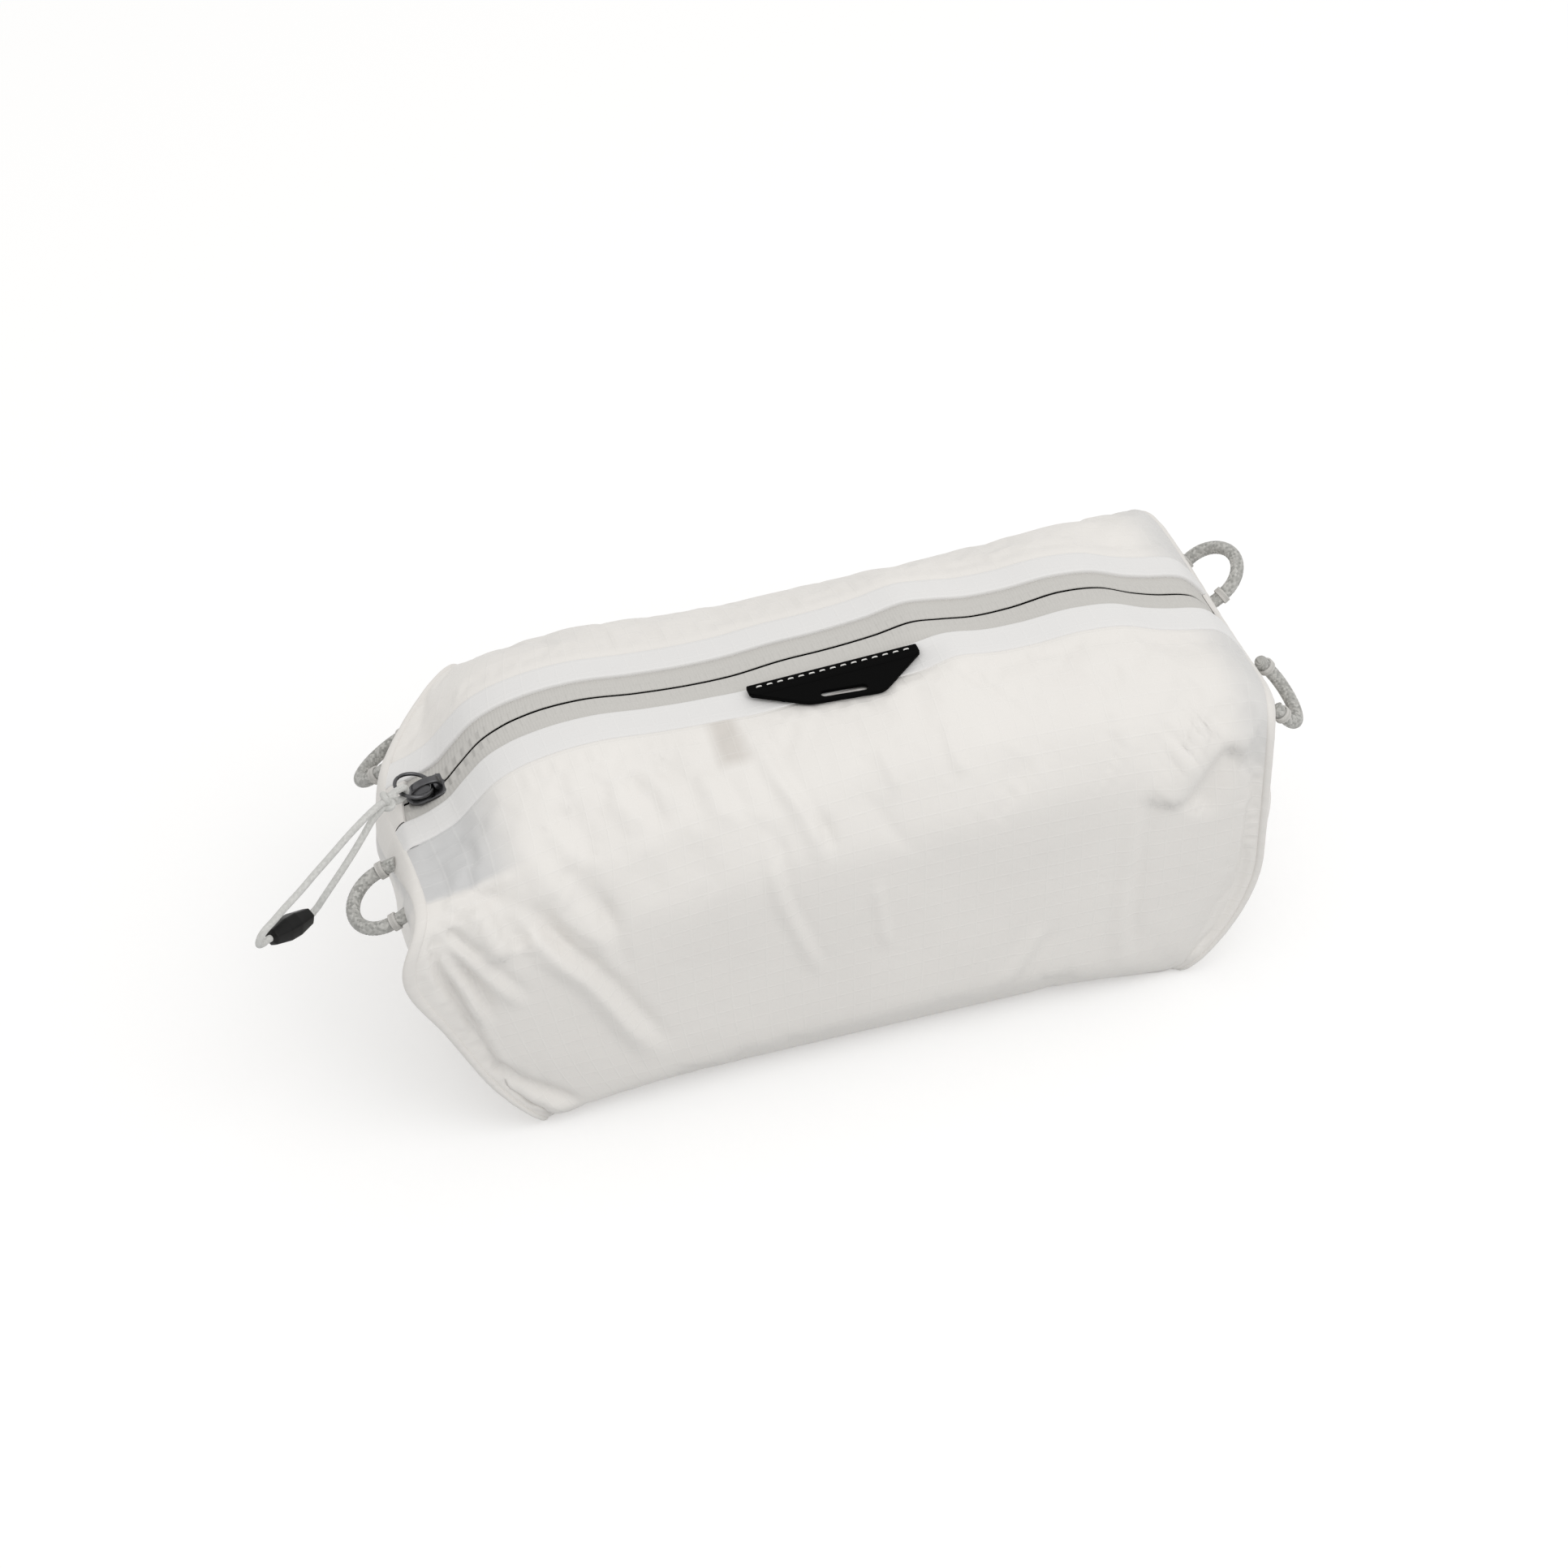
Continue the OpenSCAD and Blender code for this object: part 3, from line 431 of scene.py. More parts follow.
# The stuffed form, shared by the shell, its seams and the zip.
bag = {
    "halfLength": 0.125,
    "halfDepth": 0.053,
    "crestRadius": 0.48,
    "crestX": 0.028,
    "axisZ": -0.371,
    "rightFall": 0.02,
    "rightFallFrom": 0.113,
    "rightFallLength": 0.015,
    "leftFall": 0.01,
    "leftFallFrom": 0.122,
    "leftFallLength": 0.006,
    "squareness": 4.6,
    "endSquareness": 7.5,
    "baseSquareness": 9.5,
    "waist": 0.46,
    "endTaper": 0.01,
    "leanIn": 0.18,
    "leanHeight": 0.044,
    "settle": 0.002,
    "endBow": 0.009,
    "backIn": 0.02,
    "endBulge": 0.006,
    "seamWidth": 0.003,
    # how far the stuffing lifts or drops the zip line from its arc, along the bag in mm
    "swell": [(-125, 0), (-114, 0), (-109, 1.6), (-105, 5), (-99, 9.6), (-92, 11.6), (-84, 11.8),
              (-69, 9.8), (-52, 5), (-38, 2), (-25, 0.5), (-11, 0.5), (2, 0.2), (17, 1.3), (29, 3.6),
              (37, 2.8), (47, 1.4), (57, 1.7), (74, 4.2), (86, 4), (96, 1.3), (103, 0.3), (110, 0),
              (119, -1.2), (126, 0)],
    "swellDepth": 0.036,
    # the bed that the hang tab turns in: no swell there, and a shallow trough
    "bed": (0.002, 0.030, -0.0145, 0.0075),
    "bedTrough": 0.0006,
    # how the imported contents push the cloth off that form, in mm: the left front corner out
    # above mid height, the left back corner in at the top, the back edge down in the middle
    # and up again left of it
    "frontPush": 16.0,
    "pushHeight": 0.069,
    "pushReach": 0.024,
    "backPull": 10.0,
    "pullFrom": 0.055,
    "pullOver": 0.035,
    "backSag": 4.0,
    "backRise": 4.0,
}


def swellAt(x):
    # a smooth curve through the table: cubic spans with the table's mean slopes
    table = np.array(bag["swell"], float) * mm
    xs, ys = table[:, 0], table[:, 1]
    slope = np.gradient(ys, xs)
    x = np.clip(x, xs[0], xs[-1])
    k = np.clip(np.searchsorted(xs, x, side="right") - 1, 0, len(xs) - 2)
    h = xs[k + 1] - xs[k]
    f = (x - xs[k]) / h
    return ((2 * f**3 - 3 * f**2 + 1) * ys[k] + (f**3 - 2 * f**2 + f) * h * slope[k]
            + (3 * f**2 - 2 * f**3) * ys[k + 1] + (f**3 - f**2) * h * slope[k + 1])


def crestHeight(x):
    # the arc of the closed zip, less the square of how far x is past each fall's start
    arc = bag["axisZ"] + np.sqrt(bag["crestRadius"] ** 2 - (x - bag["crestX"]) ** 2)
    right = np.maximum(0, x - bag["rightFallFrom"]) / bag["rightFallLength"]
    left = np.maximum(0, -x - bag["leftFallFrom"]) / bag["leftFallLength"]
    return arc - bag["rightFall"] * right**2 - bag["leftFall"] * left**2


def lean(z):
    return 1 - bag["leanIn"] * np.maximum(0, 1 - z / bag["leanHeight"]) ** 2


def halfWidth(s):
    return bag["halfDepth"] * (1 - bag["endTaper"] * s * s)


def squareAt(s):
    return bag["squareness"] + (bag["endSquareness"] - bag["squareness"]) * s * s


def inset(s, y):
    # the left back corner is drawn in, and both ends bow
    deep = bag["backIn"] * np.maximum(0, -s) ** 2 * (np.maximum(0, y) / bag["halfDepth"]) ** 1.5
    return deep - np.sign(s) * bag["endBow"] * s**4 * (y / bag["halfDepth"]) ** 2


def drift(s, y, z):
    # pushes along the bag: bells over the height, growing towards the end and the side
    side = y / bag["halfDepth"]
    left = np.maximum(0, -s)
    atHeight = np.exp(-(((z - bag["pushHeight"]) / bag["pushReach"]) ** 2))
    push = -bag["frontPush"] * atHeight * np.clip(-side, 0, 1) ** 2.5 * left**3
    above = np.clip((z - bag["pullFrom"]) / bag["pullOver"], 0, 1)
    pull = bag["backPull"] * above * np.clip(side, 0, 1) ** 2 * left**3
    return (push + pull) * mm


def backSag(x, y, z):
    # lowers the upper back edge over the middle of the bag, and lifts it a little left of that
    wide = np.exp(-(((x - 0.022) / 0.066) ** 4))
    rise = np.exp(-(((x + 0.072) / 0.045) ** 2))
    high = np.clip((z - 0.05) / 0.05, 0, 1) * np.clip((y - 0.012) / 0.035, 0, 1) ** 1.5
    return (bag["backSag"] * wide - bag["backRise"] * rise) * mm * high


def tabBed(x, y):
    # one under the tab, falling to nothing just past its edges
    middleX, reachX, middleY, reachY = bag["bed"]
    return np.exp(-(((x - middleX) / reachX) ** 8) - ((y - middleY) / reachY) ** 4)


def bagForm(s, theta):
    # a rounded square round the section, in polar form: the radius at angle theta is
    # (|sin|^n + |cos|^n)^(-1/n), scaled to the half width and to the heights over and under the waist
    sn, cs = np.sin(theta), np.cos(theta)
    n = np.where(cs > 0, squareAt(s), bag["baseSquareness"])
    r = (np.abs(sn) ** n + np.abs(cs) ** n) ** (-1 / n)
    y = halfWidth(s) * sn * r
    x = s * bag["halfLength"] + inset(s, y)
    bed = tabBed(x, y)
    top = (crestHeight(x) + swellAt(x) * np.exp(-((y / bag["swellDepth"]) ** 4)) * (1 - bed)
           - bag["bedTrough"] * bed)
    mid = bag["waist"] * top
    z = mid + np.where(cs > 0, top - mid, mid) * cs * r
    z = np.maximum(0, z - bag["settle"] * np.maximum(0, 1 - z / mid))
    z = z - backSag(x, y, z)
    return np.stack([s * bag["halfLength"] * lean(z) + inset(s, y) + drift(s, y, z), y, z], -1)


def bagNormal(s, theta):
    ds, dt = 0.004, 0.01
    along = bagForm(s + ds, theta) - bagForm(s - ds, theta)
    around = bagForm(s, theta + dt) - bagForm(s, theta - dt)
    return unitRows(np.cross(around, along)) * -1


def thetaAt(s, y):
    # the angle whose point lies y from the zip line, on the upper half
    share = np.clip(np.abs(y) / halfWidth(s), 0, 1)
    n = squareAt(s)
    return np.arctan2(y / halfWidth(s), (1 - share**n) ** (1 / n))


def onBag(s, theta, off):
    p = bagForm(s, theta) + bagNormal(s, theta) * np.asarray(off)[..., None]
    p[..., 2] = np.maximum(p[..., 2], 0.0002)
    return p


# The shell: front, bottom and back in one cloth that starts and ends under the facings.
shell = {
    "columns": 118,
    "rings": 170,
    "finer": 2,
    "edge": 0.0092,
    "sunk": 0.0006,
    "slack": 0.014,
    "pressure": 4.0,
    "frames": 20,
    "cap": 0.003,
    "heldFrom": 0.0185,
}


def shellAngles(s, share):
    # the share runs from the front facing down the front, under, and up the back
    start = thetaAt(s, np.full_like(s, shell["edge"]))
    return -(start + (2 * np.pi - 2 * start) * share)


def cubicWeights(coarse, fine):
    # a matrix that reads a row of coarse values at fine even places, with Catmull-Rom cubics
    t = np.linspace(0, coarse - 1, fine)
    k = np.minimum(t.astype(int), coarse - 2)
    f = t - k
    parts = [(-f**3 + 2 * f**2 - f) / 2, (3 * f**3 - 5 * f**2 + 2) / 2,
             (-3 * f**3 + 4 * f**2 + f) / 2, (f**3 - f**2) / 2]
    weights = np.zeros((fine, coarse))
    for offset, part in zip((-1, 0, 1, 2), parts):
        np.add.at(weights, (np.arange(fine), np.clip(k + offset, 0, coarse - 1)), part)
    return weights


def stuff(piece, start, held):
    # inflates the cloth between its held edges, and eases each point's way towards the cap
    group = piece.vertex_groups.new(name="held")
    for weight in np.unique(np.round(held[held > 0], 1)):
        group.add(np.flatnonzero(np.round(held, 1) == weight).tolist(), float(weight), "REPLACE")
    cloth = piece.modifiers.new("stuffing", "CLOTH")
    cloth.settings.quality = 6
    cloth.settings.mass = 0.15
    cloth.settings.tension_stiffness = 12
    cloth.settings.compression_stiffness = 12
    cloth.settings.bending_stiffness = 0.02
    cloth.settings.vertex_group_mass = "held"
    cloth.settings.use_pressure = True
    cloth.settings.uniform_pressure_force = shell["pressure"]
    cloth.settings.shrink_min = -shell["slack"]
    cloth.settings.effector_weights.gravity = 0
    cloth.collision_settings.use_collision = False
    for number in range(1, shell["frames"] + 1):
        scene.frame_set(number)
    moved = np.empty(len(piece.data.vertices) * 3, np.float32)
    copy = piece.evaluated_get(bpy.context.evaluated_depsgraph_get()).to_mesh()
    copy.vertices.foreach_get("co", moved)
    piece.modifiers.remove(cloth)
    piece.vertex_groups.clear()
    scene.frame_set(1)
    step = moved.reshape(-1, 3).astype(float) - start
    length = np.maximum(np.linalg.norm(step, axis=1, keepdims=True), 1e-9)
    return start + step * shell["cap"] * np.tanh(length / shell["cap"]) / length


def gridNormals(grid):
    along = np.gradient(grid, axis=0)
    around = np.gradient(grid, axis=1)
    return unitRows(np.cross(around, along))


# Folds and puckers: each is a line on the cloth in mm, with its depth, half width and the
# height of the ridge thrown up beside it (to the left of the line when positive).
folds = [
    (1.8, 2.1, 0.8, [(-27, -23, 106), (-23, -30, 106), (-21, -40, 103), (-17, -48, 96),
      (-14, -51, 88), (-12, -53, 77)]),
    (1.4, 1.9, 0.7, [(-27, -50, 91), (-26, -53, 73), (-19, -53, 53), (-13, -53, 37)]),
    (2.9, 2.7, 0.9, [(-109, -44, 88), (-99, -51, 82), (-88, -53, 67), (-80, -53, 57),
      (-69, -53, 38), (-59, -53, 21)]),
    (3.1, 3.6, 0.9, [(-111, -43, 88), (-107, -49, 85), (-103, -52, 77), (-100, -53, 70)]),
    (3.1, 1.9, 0.5, [(-127, -45, 84), (-127, -51, 78), (-125, -52, 67), (-122, -53, 57),
      (-121, -53, 51)]),
    (2.2, 1.8, 0.9, [(-128, -45, 84), (-123, -52, 76), (-115, -53, 61), (-110, -53, 45)]),
    (1.8, 1.8, 0.8, [(-127, -45, 84), (-119, -51, 78), (-109, -53, 66), (-99, -53, 51)]),
    (1.6, 1.6, 0.8, [(-128, -46, 83), (-126, -52, 75), (-121, -53, 60), (-115, -53, 41)]),
    (2.2, 2.1, 0.7, [(-115, -52, 31), (-109, -53, 27), (-101, -53, 19), (-85, -52, 7)]),
    (1.1, 1.6, 0.7, [(8, -38, 106), (9, -44, 102), (11, -50, 94)]),
    (1.1, 1.6, 0.7, [(29, -37, 108), (28, -44, 103), (30, -50, 95)]),
    (0.9, 1.6, 0.7, [(2, -53, 71), (3, -53, 59), (6, -53, 41)]),
    (3.9, 5.4, 0.9, [(109, -52, 87), (103, -52, 81), (97, -53, 73), (93, -53, 66)]),
    (1.4, 2.4, 0.6, [(82, -52, 84), (79, -53, 55), (78, -53, 33), (79, -52, 11)]),
    (1.3, 2.4, 0.6, [(54, -53, 37), (47, -53, 24), (40, -53, 13)]),
    (1.8, 1.4, 0.5, [(-118, -10, 86), (-122, -17, 85), (-127, -24, 85)]),
    (2.0, 4.0, 0.6, [(-84, -32, 101), (-81, -39, 98), (-78, -47, 92)]),
    (1.8, 3.6, 0.6, [(-66, -29, 105), (-60, -38, 101), (-59, -45, 96)]),
    (1.6, 3.6, 0.6, [(-57, -26, 106), (-49, -35, 103), (-49, -44, 98)]),
    (1.4, 3.1, 0.6, [(-42, -29, 105), (-38, -39, 102), (-35, -48, 95)]),
    (1.8, 3.6, 0.6, [(-92, -33, 99), (-88, -45, 92), (-80, -52, 79), (-73, -53, 65)]),
    (1.3, 2.4, 0.6, [(-79, -51, 84), (-75, -53, 66), (-72, -53, 53)]),
    (1.0, 1.3, 0.8, [(-124, -42, 85), (-118, -42, 86), (-110, -42, 89), (-100, -42, 92)]),
]


def foldHeights(points, lines):
    # the depth falls off as a bell across each line, fades at its ends, and a softer
    # bell stands beside it
    height = np.zeros(len(points))
    for depth, width, ridge, line in lines:
        line = curveThrough(np.array(line, float) * mm, 0.0015)
        margin = 4 * width * mm
        inReach = (points > line.min(0) - margin) & (points < line.max(0) + margin)
        near = np.flatnonzero(inReach.all(1))
        if not len(near):
            continue
        away = points[near][:, None] - line[None]
        distance = np.linalg.norm(away, axis=2)
        best = distance.argmin(1)
        d = distance[np.arange(len(near)), best] / (width * mm)
        run = best / (len(line) - 1)
        fade = np.clip(np.minimum(run, 1 - run) * 4, 0, 1)
        fade = fade * fade * (3 - 2 * fade)
        direction = unitRows(np.gradient(line, axis=0))[best]
        core = np.stack([np.clip(points[near][:, 0], -0.09, 0.09), 0 * d, 0.05 + 0 * d], 1)
        out = unitRows(points[near] - core)
        across = np.cross(direction, out)
        side = np.einsum("ij,ij->i", across, away[np.arange(len(near)), best]) / (width * mm)
        bell = -np.exp(-d * d)
        beside = (ridge * np.exp(-((side - 1.7 * np.sign(ridge)) ** 2) / 1.4)
                  * np.exp(-np.maximum(0, d - 3) ** 2))
        height[near] += depth * mm * fade * (bell + np.sign(ridge) * beside)
    return height


def setAttribute(piece, name, values):
    layer = piece.data.attributes.new(name, "FLOAT", "POINT")
    layer.data.foreach_set("value", np.asarray(values, np.float32).ravel())


def hollowShadeMask(p):
    # painted shade: where no packed clothing backs the cloth, the hollow's shade shows
    # through it: by the left end, from the zip to the short seam in front of it, and a little at the right
    # end
    x, y, z = p[..., 0] / mm, p[..., 1] / mm, p[..., 2] / mm
    left = (np.exp(-(((x + 118) / 17) ** 4)) * np.clip((y + 42.5) / 1.5, 0, 1)
            * np.clip((z - 60) / 12, 0, 1) * (y < 12))
    right = 0.6 * np.exp(-(((x - 120) / 12) ** 4 + ((z - 92) / 16) ** 4))
    return np.clip(left + right, 0, 1)


def clothUv(grid):
    # lengths along and around the cloth, in metres, measured on the middle row and column
    rows, columns = grid.shape[:2]
    along = runOf(grid[:, columns // 4])
    around = runOf(grid[rows // 2])
    return np.stack(np.broadcast_arrays(along[:, None], around[None, :]), -1)


def makeShell():
    columns, rings = shell["columns"], shell["rings"]
    s = np.linspace(-1, 1, columns)[:, None] * np.ones(rings)[None]
    share = np.linspace(0, 1, rings)[None] * np.ones(columns)[:, None]
    theta = shellAngles(s, share)
    base = onBag(s, theta, np.zeros_like(s))
    fromZip = np.where(np.cos(theta) > 0, np.abs(base[..., 1]), 1.0)
    edge = np.clip((1 - np.abs(s)) / 0.05, 0, 1)
    band = np.clip((fromZip - shell["heldFrom"]) / 0.006, 0, 1)
    free = np.minimum(edge, band)
    free = free * free * (3 - 2 * free)
    under = np.where(fromZip < shell["heldFrom"], -0.0004, 0.0)
    start = onBag(s, theta, under - shell["sunk"] * free).reshape(-1, 3)
    quads = gridQuads(columns, rings)
    piece = meshFrom("shellStart", start, quads, shellCloth)
    settled = start
    settled = stuff(piece, start, 1 - free.ravel())
    bpy.data.objects.remove(piece)
    grid = settled.reshape(columns, rings, 3)
    fineColumns, fineRings = columns * shell["finer"], rings * shell["finer"]
    grid = np.einsum("ai,bj,ijc->abc", cubicWeights(columns, fineColumns),
                     cubicWeights(rings, fineRings), grid)
    normal = gridNormals(grid)
    # the folds run out before the end seams
    toEnd = np.clip((1 - np.abs(np.linspace(-1, 1, fineColumns))) / 0.05, 0, 1)[:, None]
    height = foldHeights(grid.reshape(-1, 3), folds).reshape(grid.shape[:2]) * toEnd**2 * (3 - 2 * toEnd)
    grid = grid + normal * height[..., None]
    grid[..., 2] = np.maximum(grid[..., 2], 0.0003)
    body = meshFrom("shellCloth", grid, gridQuads(fineColumns, fineRings), shellCloth, clothUv(grid))
    # painted shade of the hollow behind the cloth
    setAttribute(body, "clearOfHollowShade", 1 - hollowShadeMask(grid))
    x, y, z = grid[..., 0] / mm, grid[..., 1] / mm, grid[..., 2] / mm
    # painted shadow of the inner label: a soft box in front of it
    labelShadow = (np.clip(1.5 - np.abs(x + 34) / 3.8, 0, 1) * np.clip((-y - 17) / 2, 0, 1)
            * np.clip((y + 34) / 3, 0, 1) * (z > 60))
    setAttribute(body, "labelShadow", labelShadow)
    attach(body, "bag")
    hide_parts("front_panel", "back_panel", "bottom_panel")
    print("shell cloth,", len(body.data.vertices), "points")


makeShell()


# The end panels: rings that shrink towards the middle of each end and bulge out.
ends = {"rings": 44, "around": 360, "gather": 0.0007}


def makeEndPanel(name, end, node):
    around = ends["around"]
    theta = np.linspace(-np.pi, np.pi, around, endpoint=False)[None]
    r = np.linspace(1, 0.004, ends["rings"])[:, None]
    s = end * (1 + bag["seamWidth"] / bag["halfLength"])
    rim = onBag(np.full(around, s), theta[0], np.zeros(around))
    midZ = float(crestHeight(end * bag["halfLength"])) / 2
    y = r * rim[None, :, 1]
    z = midZ + r * (rim[None, :, 2] - midZ)
    bulge = (bag["endBulge"] if end > 0 else -0.004) * (1 - r * r) ** 1.5
    gathers = (np.sin(theta * 9 + 1.3) + 0.7 * np.sin(theta * 17 + 0.4) + 0.5 * np.sin(theta * 29 + 2.0))
    pucker = ends["gather"] * gathers * np.exp(-((r - 0.82) / 0.2) ** 2) * np.clip((1 - r) / 0.06, 0, 1)
    x = end * (abs(s) * bag["halfLength"] * lean(z) + bulge + pucker) + inset(s, y) + drift(s, y, z)
    grid = np.stack([x + 0 * y, y, z], -1)
    grid[0] = rim
    grid[..., 2] = np.maximum(grid[..., 2], 0.0003)
    quads = gridQuads(ends["rings"], around, wrapColumns=True)
    if end > 0:
        quads = quads[:, ::-1]
    panel = meshFrom(name, grid, quads, endCloth, grid[..., 1:])
    # painted shade of the hollow behind the cloth, weaker on the ends
    setAttribute(panel, "clearOfHollowShade", 1 - 0.6 * hollowShadeMask(grid))
    setAttribute(panel, "labelShadow", np.zeros(grid.shape[:2]))
    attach(panel, "bag")
    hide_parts(node)


makeEndPanel("leftEndPanel", -1, "left_end_panel")
makeEndPanel("rightEndPanel", 1, "right_end_panel")


def makeBinding(name, end, node):
    # a half round carried round the end seam
    theta = np.linspace(-np.pi, np.pi, 420, endpoint=False)[None]
    phi = np.linspace(0, np.pi, 13)[:, None]
    width = bag["seamWidth"] / bag["halfLength"]
    s = end * (1 - 0.002 + (width + 0.004) * (0.5 - 0.5 * np.cos(phi))) + 0 * theta
    pucker = 0.12 * np.sin(theta * 61) + 0.1 * np.sin(theta * 97 + 1)
    off = (1.15 * np.sin(phi) ** 0.8 * (1 + 0.25 * pucker) - 0.35) * mm + 0 * theta
    grid = onBag(s, theta + 0 * phi, off)
    quads = gridQuads(13, 420, wrapColumns=True)
    if end > 0:
        quads = quads[:, ::-1]
    piece = meshFrom(name, grid, quads, bindingCloth, np.stack(np.broadcast_arrays(
        (theta + np.pi) * 0.07, phi * 0.001), -1))
    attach(piece, "bag")
    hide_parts(node)


makeBinding("leftBinding", -1, "left_binding")
makeBinding("rightBinding", 1, "right_binding")
print("ends and bindings made")


# Bands along the top: each is a profile of places across the zip line and heights over
# the cloth, both in mm, carried from one end seam to the other.
bands = {
    "frontFacing": {"profile": [(8.0, -1.2), (7.9, -0.4), (8.05, 0.05), (8.5, 0.25), (9.4, 0.22), (12, 0.2),
                                (15, 0.2), (17.6, 0.22), (18.1, 0.12), (18.3, -0.35)],
                    "side": -1, "from": -1.0, "to": 1.0, "node": "front_facing", "slot": "facing_fabric"},
    "backFacing": {"profile": [(8.0, -1.2), (7.9, -0.4), (8.05, 0.05), (8.5, 0.25), (9.4, 0.22), (12, 0.2),
                               (14, 0.2), (16.2, 0.22), (16.7, 0.12), (16.9, -0.35)],
                   "side": 1, "from": -1.0, "to": 1.0, "node": "back_facing", "slot": "facing_fabric"},
    "frontTape": {"profile": [(0.45, -1.6), (0.44, -1.3), (0.6, -1.12), (1.0, -1.02), (2, -0.98),
                              (3.5, -0.98), (6, -1.0), (9.2, -1.0)],
                  "side": -1, "from": -1.0, "to": 1.0, "node": "front_tape", "slot": "zip_tape"},
    "backTape": {"profile": [(0.45, -1.6), (0.44, -1.3), (0.6, -1.12), (1.0, -1.02), (2, -0.98),
                             (3.5, -0.98), (6, -1.0), (9.2, -1.0)],
                 "side": 1, "from": -1.0, "to": 1.0, "node": "back_tape", "slot": "zip_tape"},
}
# how far the meeting line of the tapes strays towards the back, along the bag in mm
wander = [(-125, 0), (-112, 0), (-99, 0.3), (-84, 1.2), (-69, 1.0), (-52, 0.5), (-25, 0.2), (-5, 0.9),
          (17, 0.6), (37, -0.4), (57, 0.4), (74, 1.6), (91, 1.3), (104, 0.2), (125, 0)]


def strayAt(x):
    table = np.array(wander, float)
    xs = np.linspace(-125, 125, 101)
    padded = np.pad(np.interp(xs, table[:, 0], table[:, 1]), 4, mode="edge")
    soft = np.convolve(padded, np.hanning(9) / 4, "valid")
    return np.interp(x / mm, xs, soft) * mm


def bandGrid(part, steps=420, between=3):
    profile = np.array(part["profile"], float) * mm
    knots = np.arange(len(profile))
    fine = np.linspace(0, len(profile) - 1, (len(profile) - 1) * between + 1)
    y = np.interp(fine, knots, profile[:, 0])[None]
    off = np.interp(fine, knots, profile[:, 1])[None]
    s = np.linspace(part["from"], part["to"], steps)[:, None]
    stray = strayAt(s * bag["halfLength"]) * np.clip(1 - y / (8 * mm), 0, 1)
    place = part["side"] * y + stray
    grid = onBag(s + 0 * y, thetaAt(s + 0 * y, place), off + 0 * s)
    uv = np.stack(np.broadcast_arrays(s * bag["halfLength"], part["side"] * y), -1)
    return grid, uv


def makeBand(name, material):
    part = bands[name]
    grid, uv = bandGrid(part)
    quads = gridQuads(*grid.shape[:2])
    if part["side"] < 0:
        quads = quads[:, ::-1]
    piece = meshFrom(name, grid, quads[:, ::-1], material, uv)
    x = grid[..., 0] / mm
    setAttribute(piece, "toothy", 0.25 + 0.75 * np.clip((-94 - x) / 5, 0, 1))
    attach(piece, "bag")
    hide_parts(part["node"])
    return piece


def makeLabel():
    # a blank label that hangs from the front facing's seam, inside the cloth
    s = np.linspace(-39.5, -28.5, 15)[:, None] / 125
    y = np.linspace(-17.2, -31.2, 21)[None] * mm
    grid = onBag(s + 0 * y, thetaAt(s + 0 * y, y + 0 * s), np.full((15, 21), -4.2 * mm))
    piece = meshFrom("innerLabel", grid, gridQuads(15, 21)[:, ::-1], labelCloth)
    piece.modifiers.new("thick", "SOLIDIFY").thickness = 0.0004
    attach(piece, "bag")
    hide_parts("inner_label")


makeLabel()
makeBand("frontFacing", bandCloth)
makeBand("backFacing", bandCloth)
makeBand("frontTape", tapeKnit)
makeBand("backTape", tapeKnit)


def makeZipGapShade():
    # the dark line between the tapes: a shallow near-black strip just under them, painted shade for the
    # crack where the tapes meet
    y = np.linspace(-0.9, 0.9, 5)[None] * mm
    s = np.linspace(-0.985, 0.985, 400)[:, None]
    place = y + strayAt(s * bag["halfLength"])
    grid = onBag(s + 0 * y, thetaAt(s + 0 * y, place), np.full((400, 5), -1.45 * mm))
    piece = meshFrom("zipGapShade", grid, gridQuads(400, 5), gapShade)
    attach(piece, "bag")


makeZipGapShade()


def makeZipFlap(name, end, node, reach, slant):
    # folded cloth over the tape's end: its free edge runs at a slant across the zip
    across = np.linspace(-1, 1, 41)[:, None]
    down = np.linspace(0, 1, 25)[None]
    y = across * 7.8 * mm
    free = 1 - (reach + slant * across) / bag["halfLength"] * mm
    s = end * (1 - 0.001 + (free - 1) * down)
    off = (0.1 + 0.12 * np.sin(down * np.pi * 0.9)) * mm - 1.0 * mm * np.clip((down - 0.94) / 0.06, 0, 1)
    grid = onBag(s + 0 * y, thetaAt(s + 0 * y, y + 0 * s), off + 0 * y)
    quads = gridQuads(41, 25)
    piece = meshFrom(name, grid, quads if end < 0 else quads[:, ::-1], bindingCloth,
                     np.stack(np.broadcast_arrays(s * 0.125, y), -1))
    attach(piece, "bag")
    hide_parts(node)


makeZipFlap("leftZipFlap", -1, "left_zip_flap", 4.4, 1.6)
makeZipFlap("rightZipFlap", 1, "right_zip_flap", 2.6, 0.4)
print("zip bands made")


# The corner loops of braided cord, bound where they leave the end seams.
loops = {
    "diameter": 0.004,
    "bend": 10.0,
    "leg": 2.4,
    "inside": {"left_front": 3.4, "left_back": 7.0, "right_front": 2.0, "right_back": 3.4},
    "baseX": 131.3,
    "drop": 5.0,
    "turn": 4.0,
    "corners": {
        "left_front": (-1, -1, -30.0, 0.0, 0.8),
        "left_back": (-1, 1, -45.0, 5.0, 1.5),
        "right_front": (1, -1, -54.0, 0.0, 0.0),
        "right_back": (1, 1, 30.0, 0.0, 0.6),
    },
}


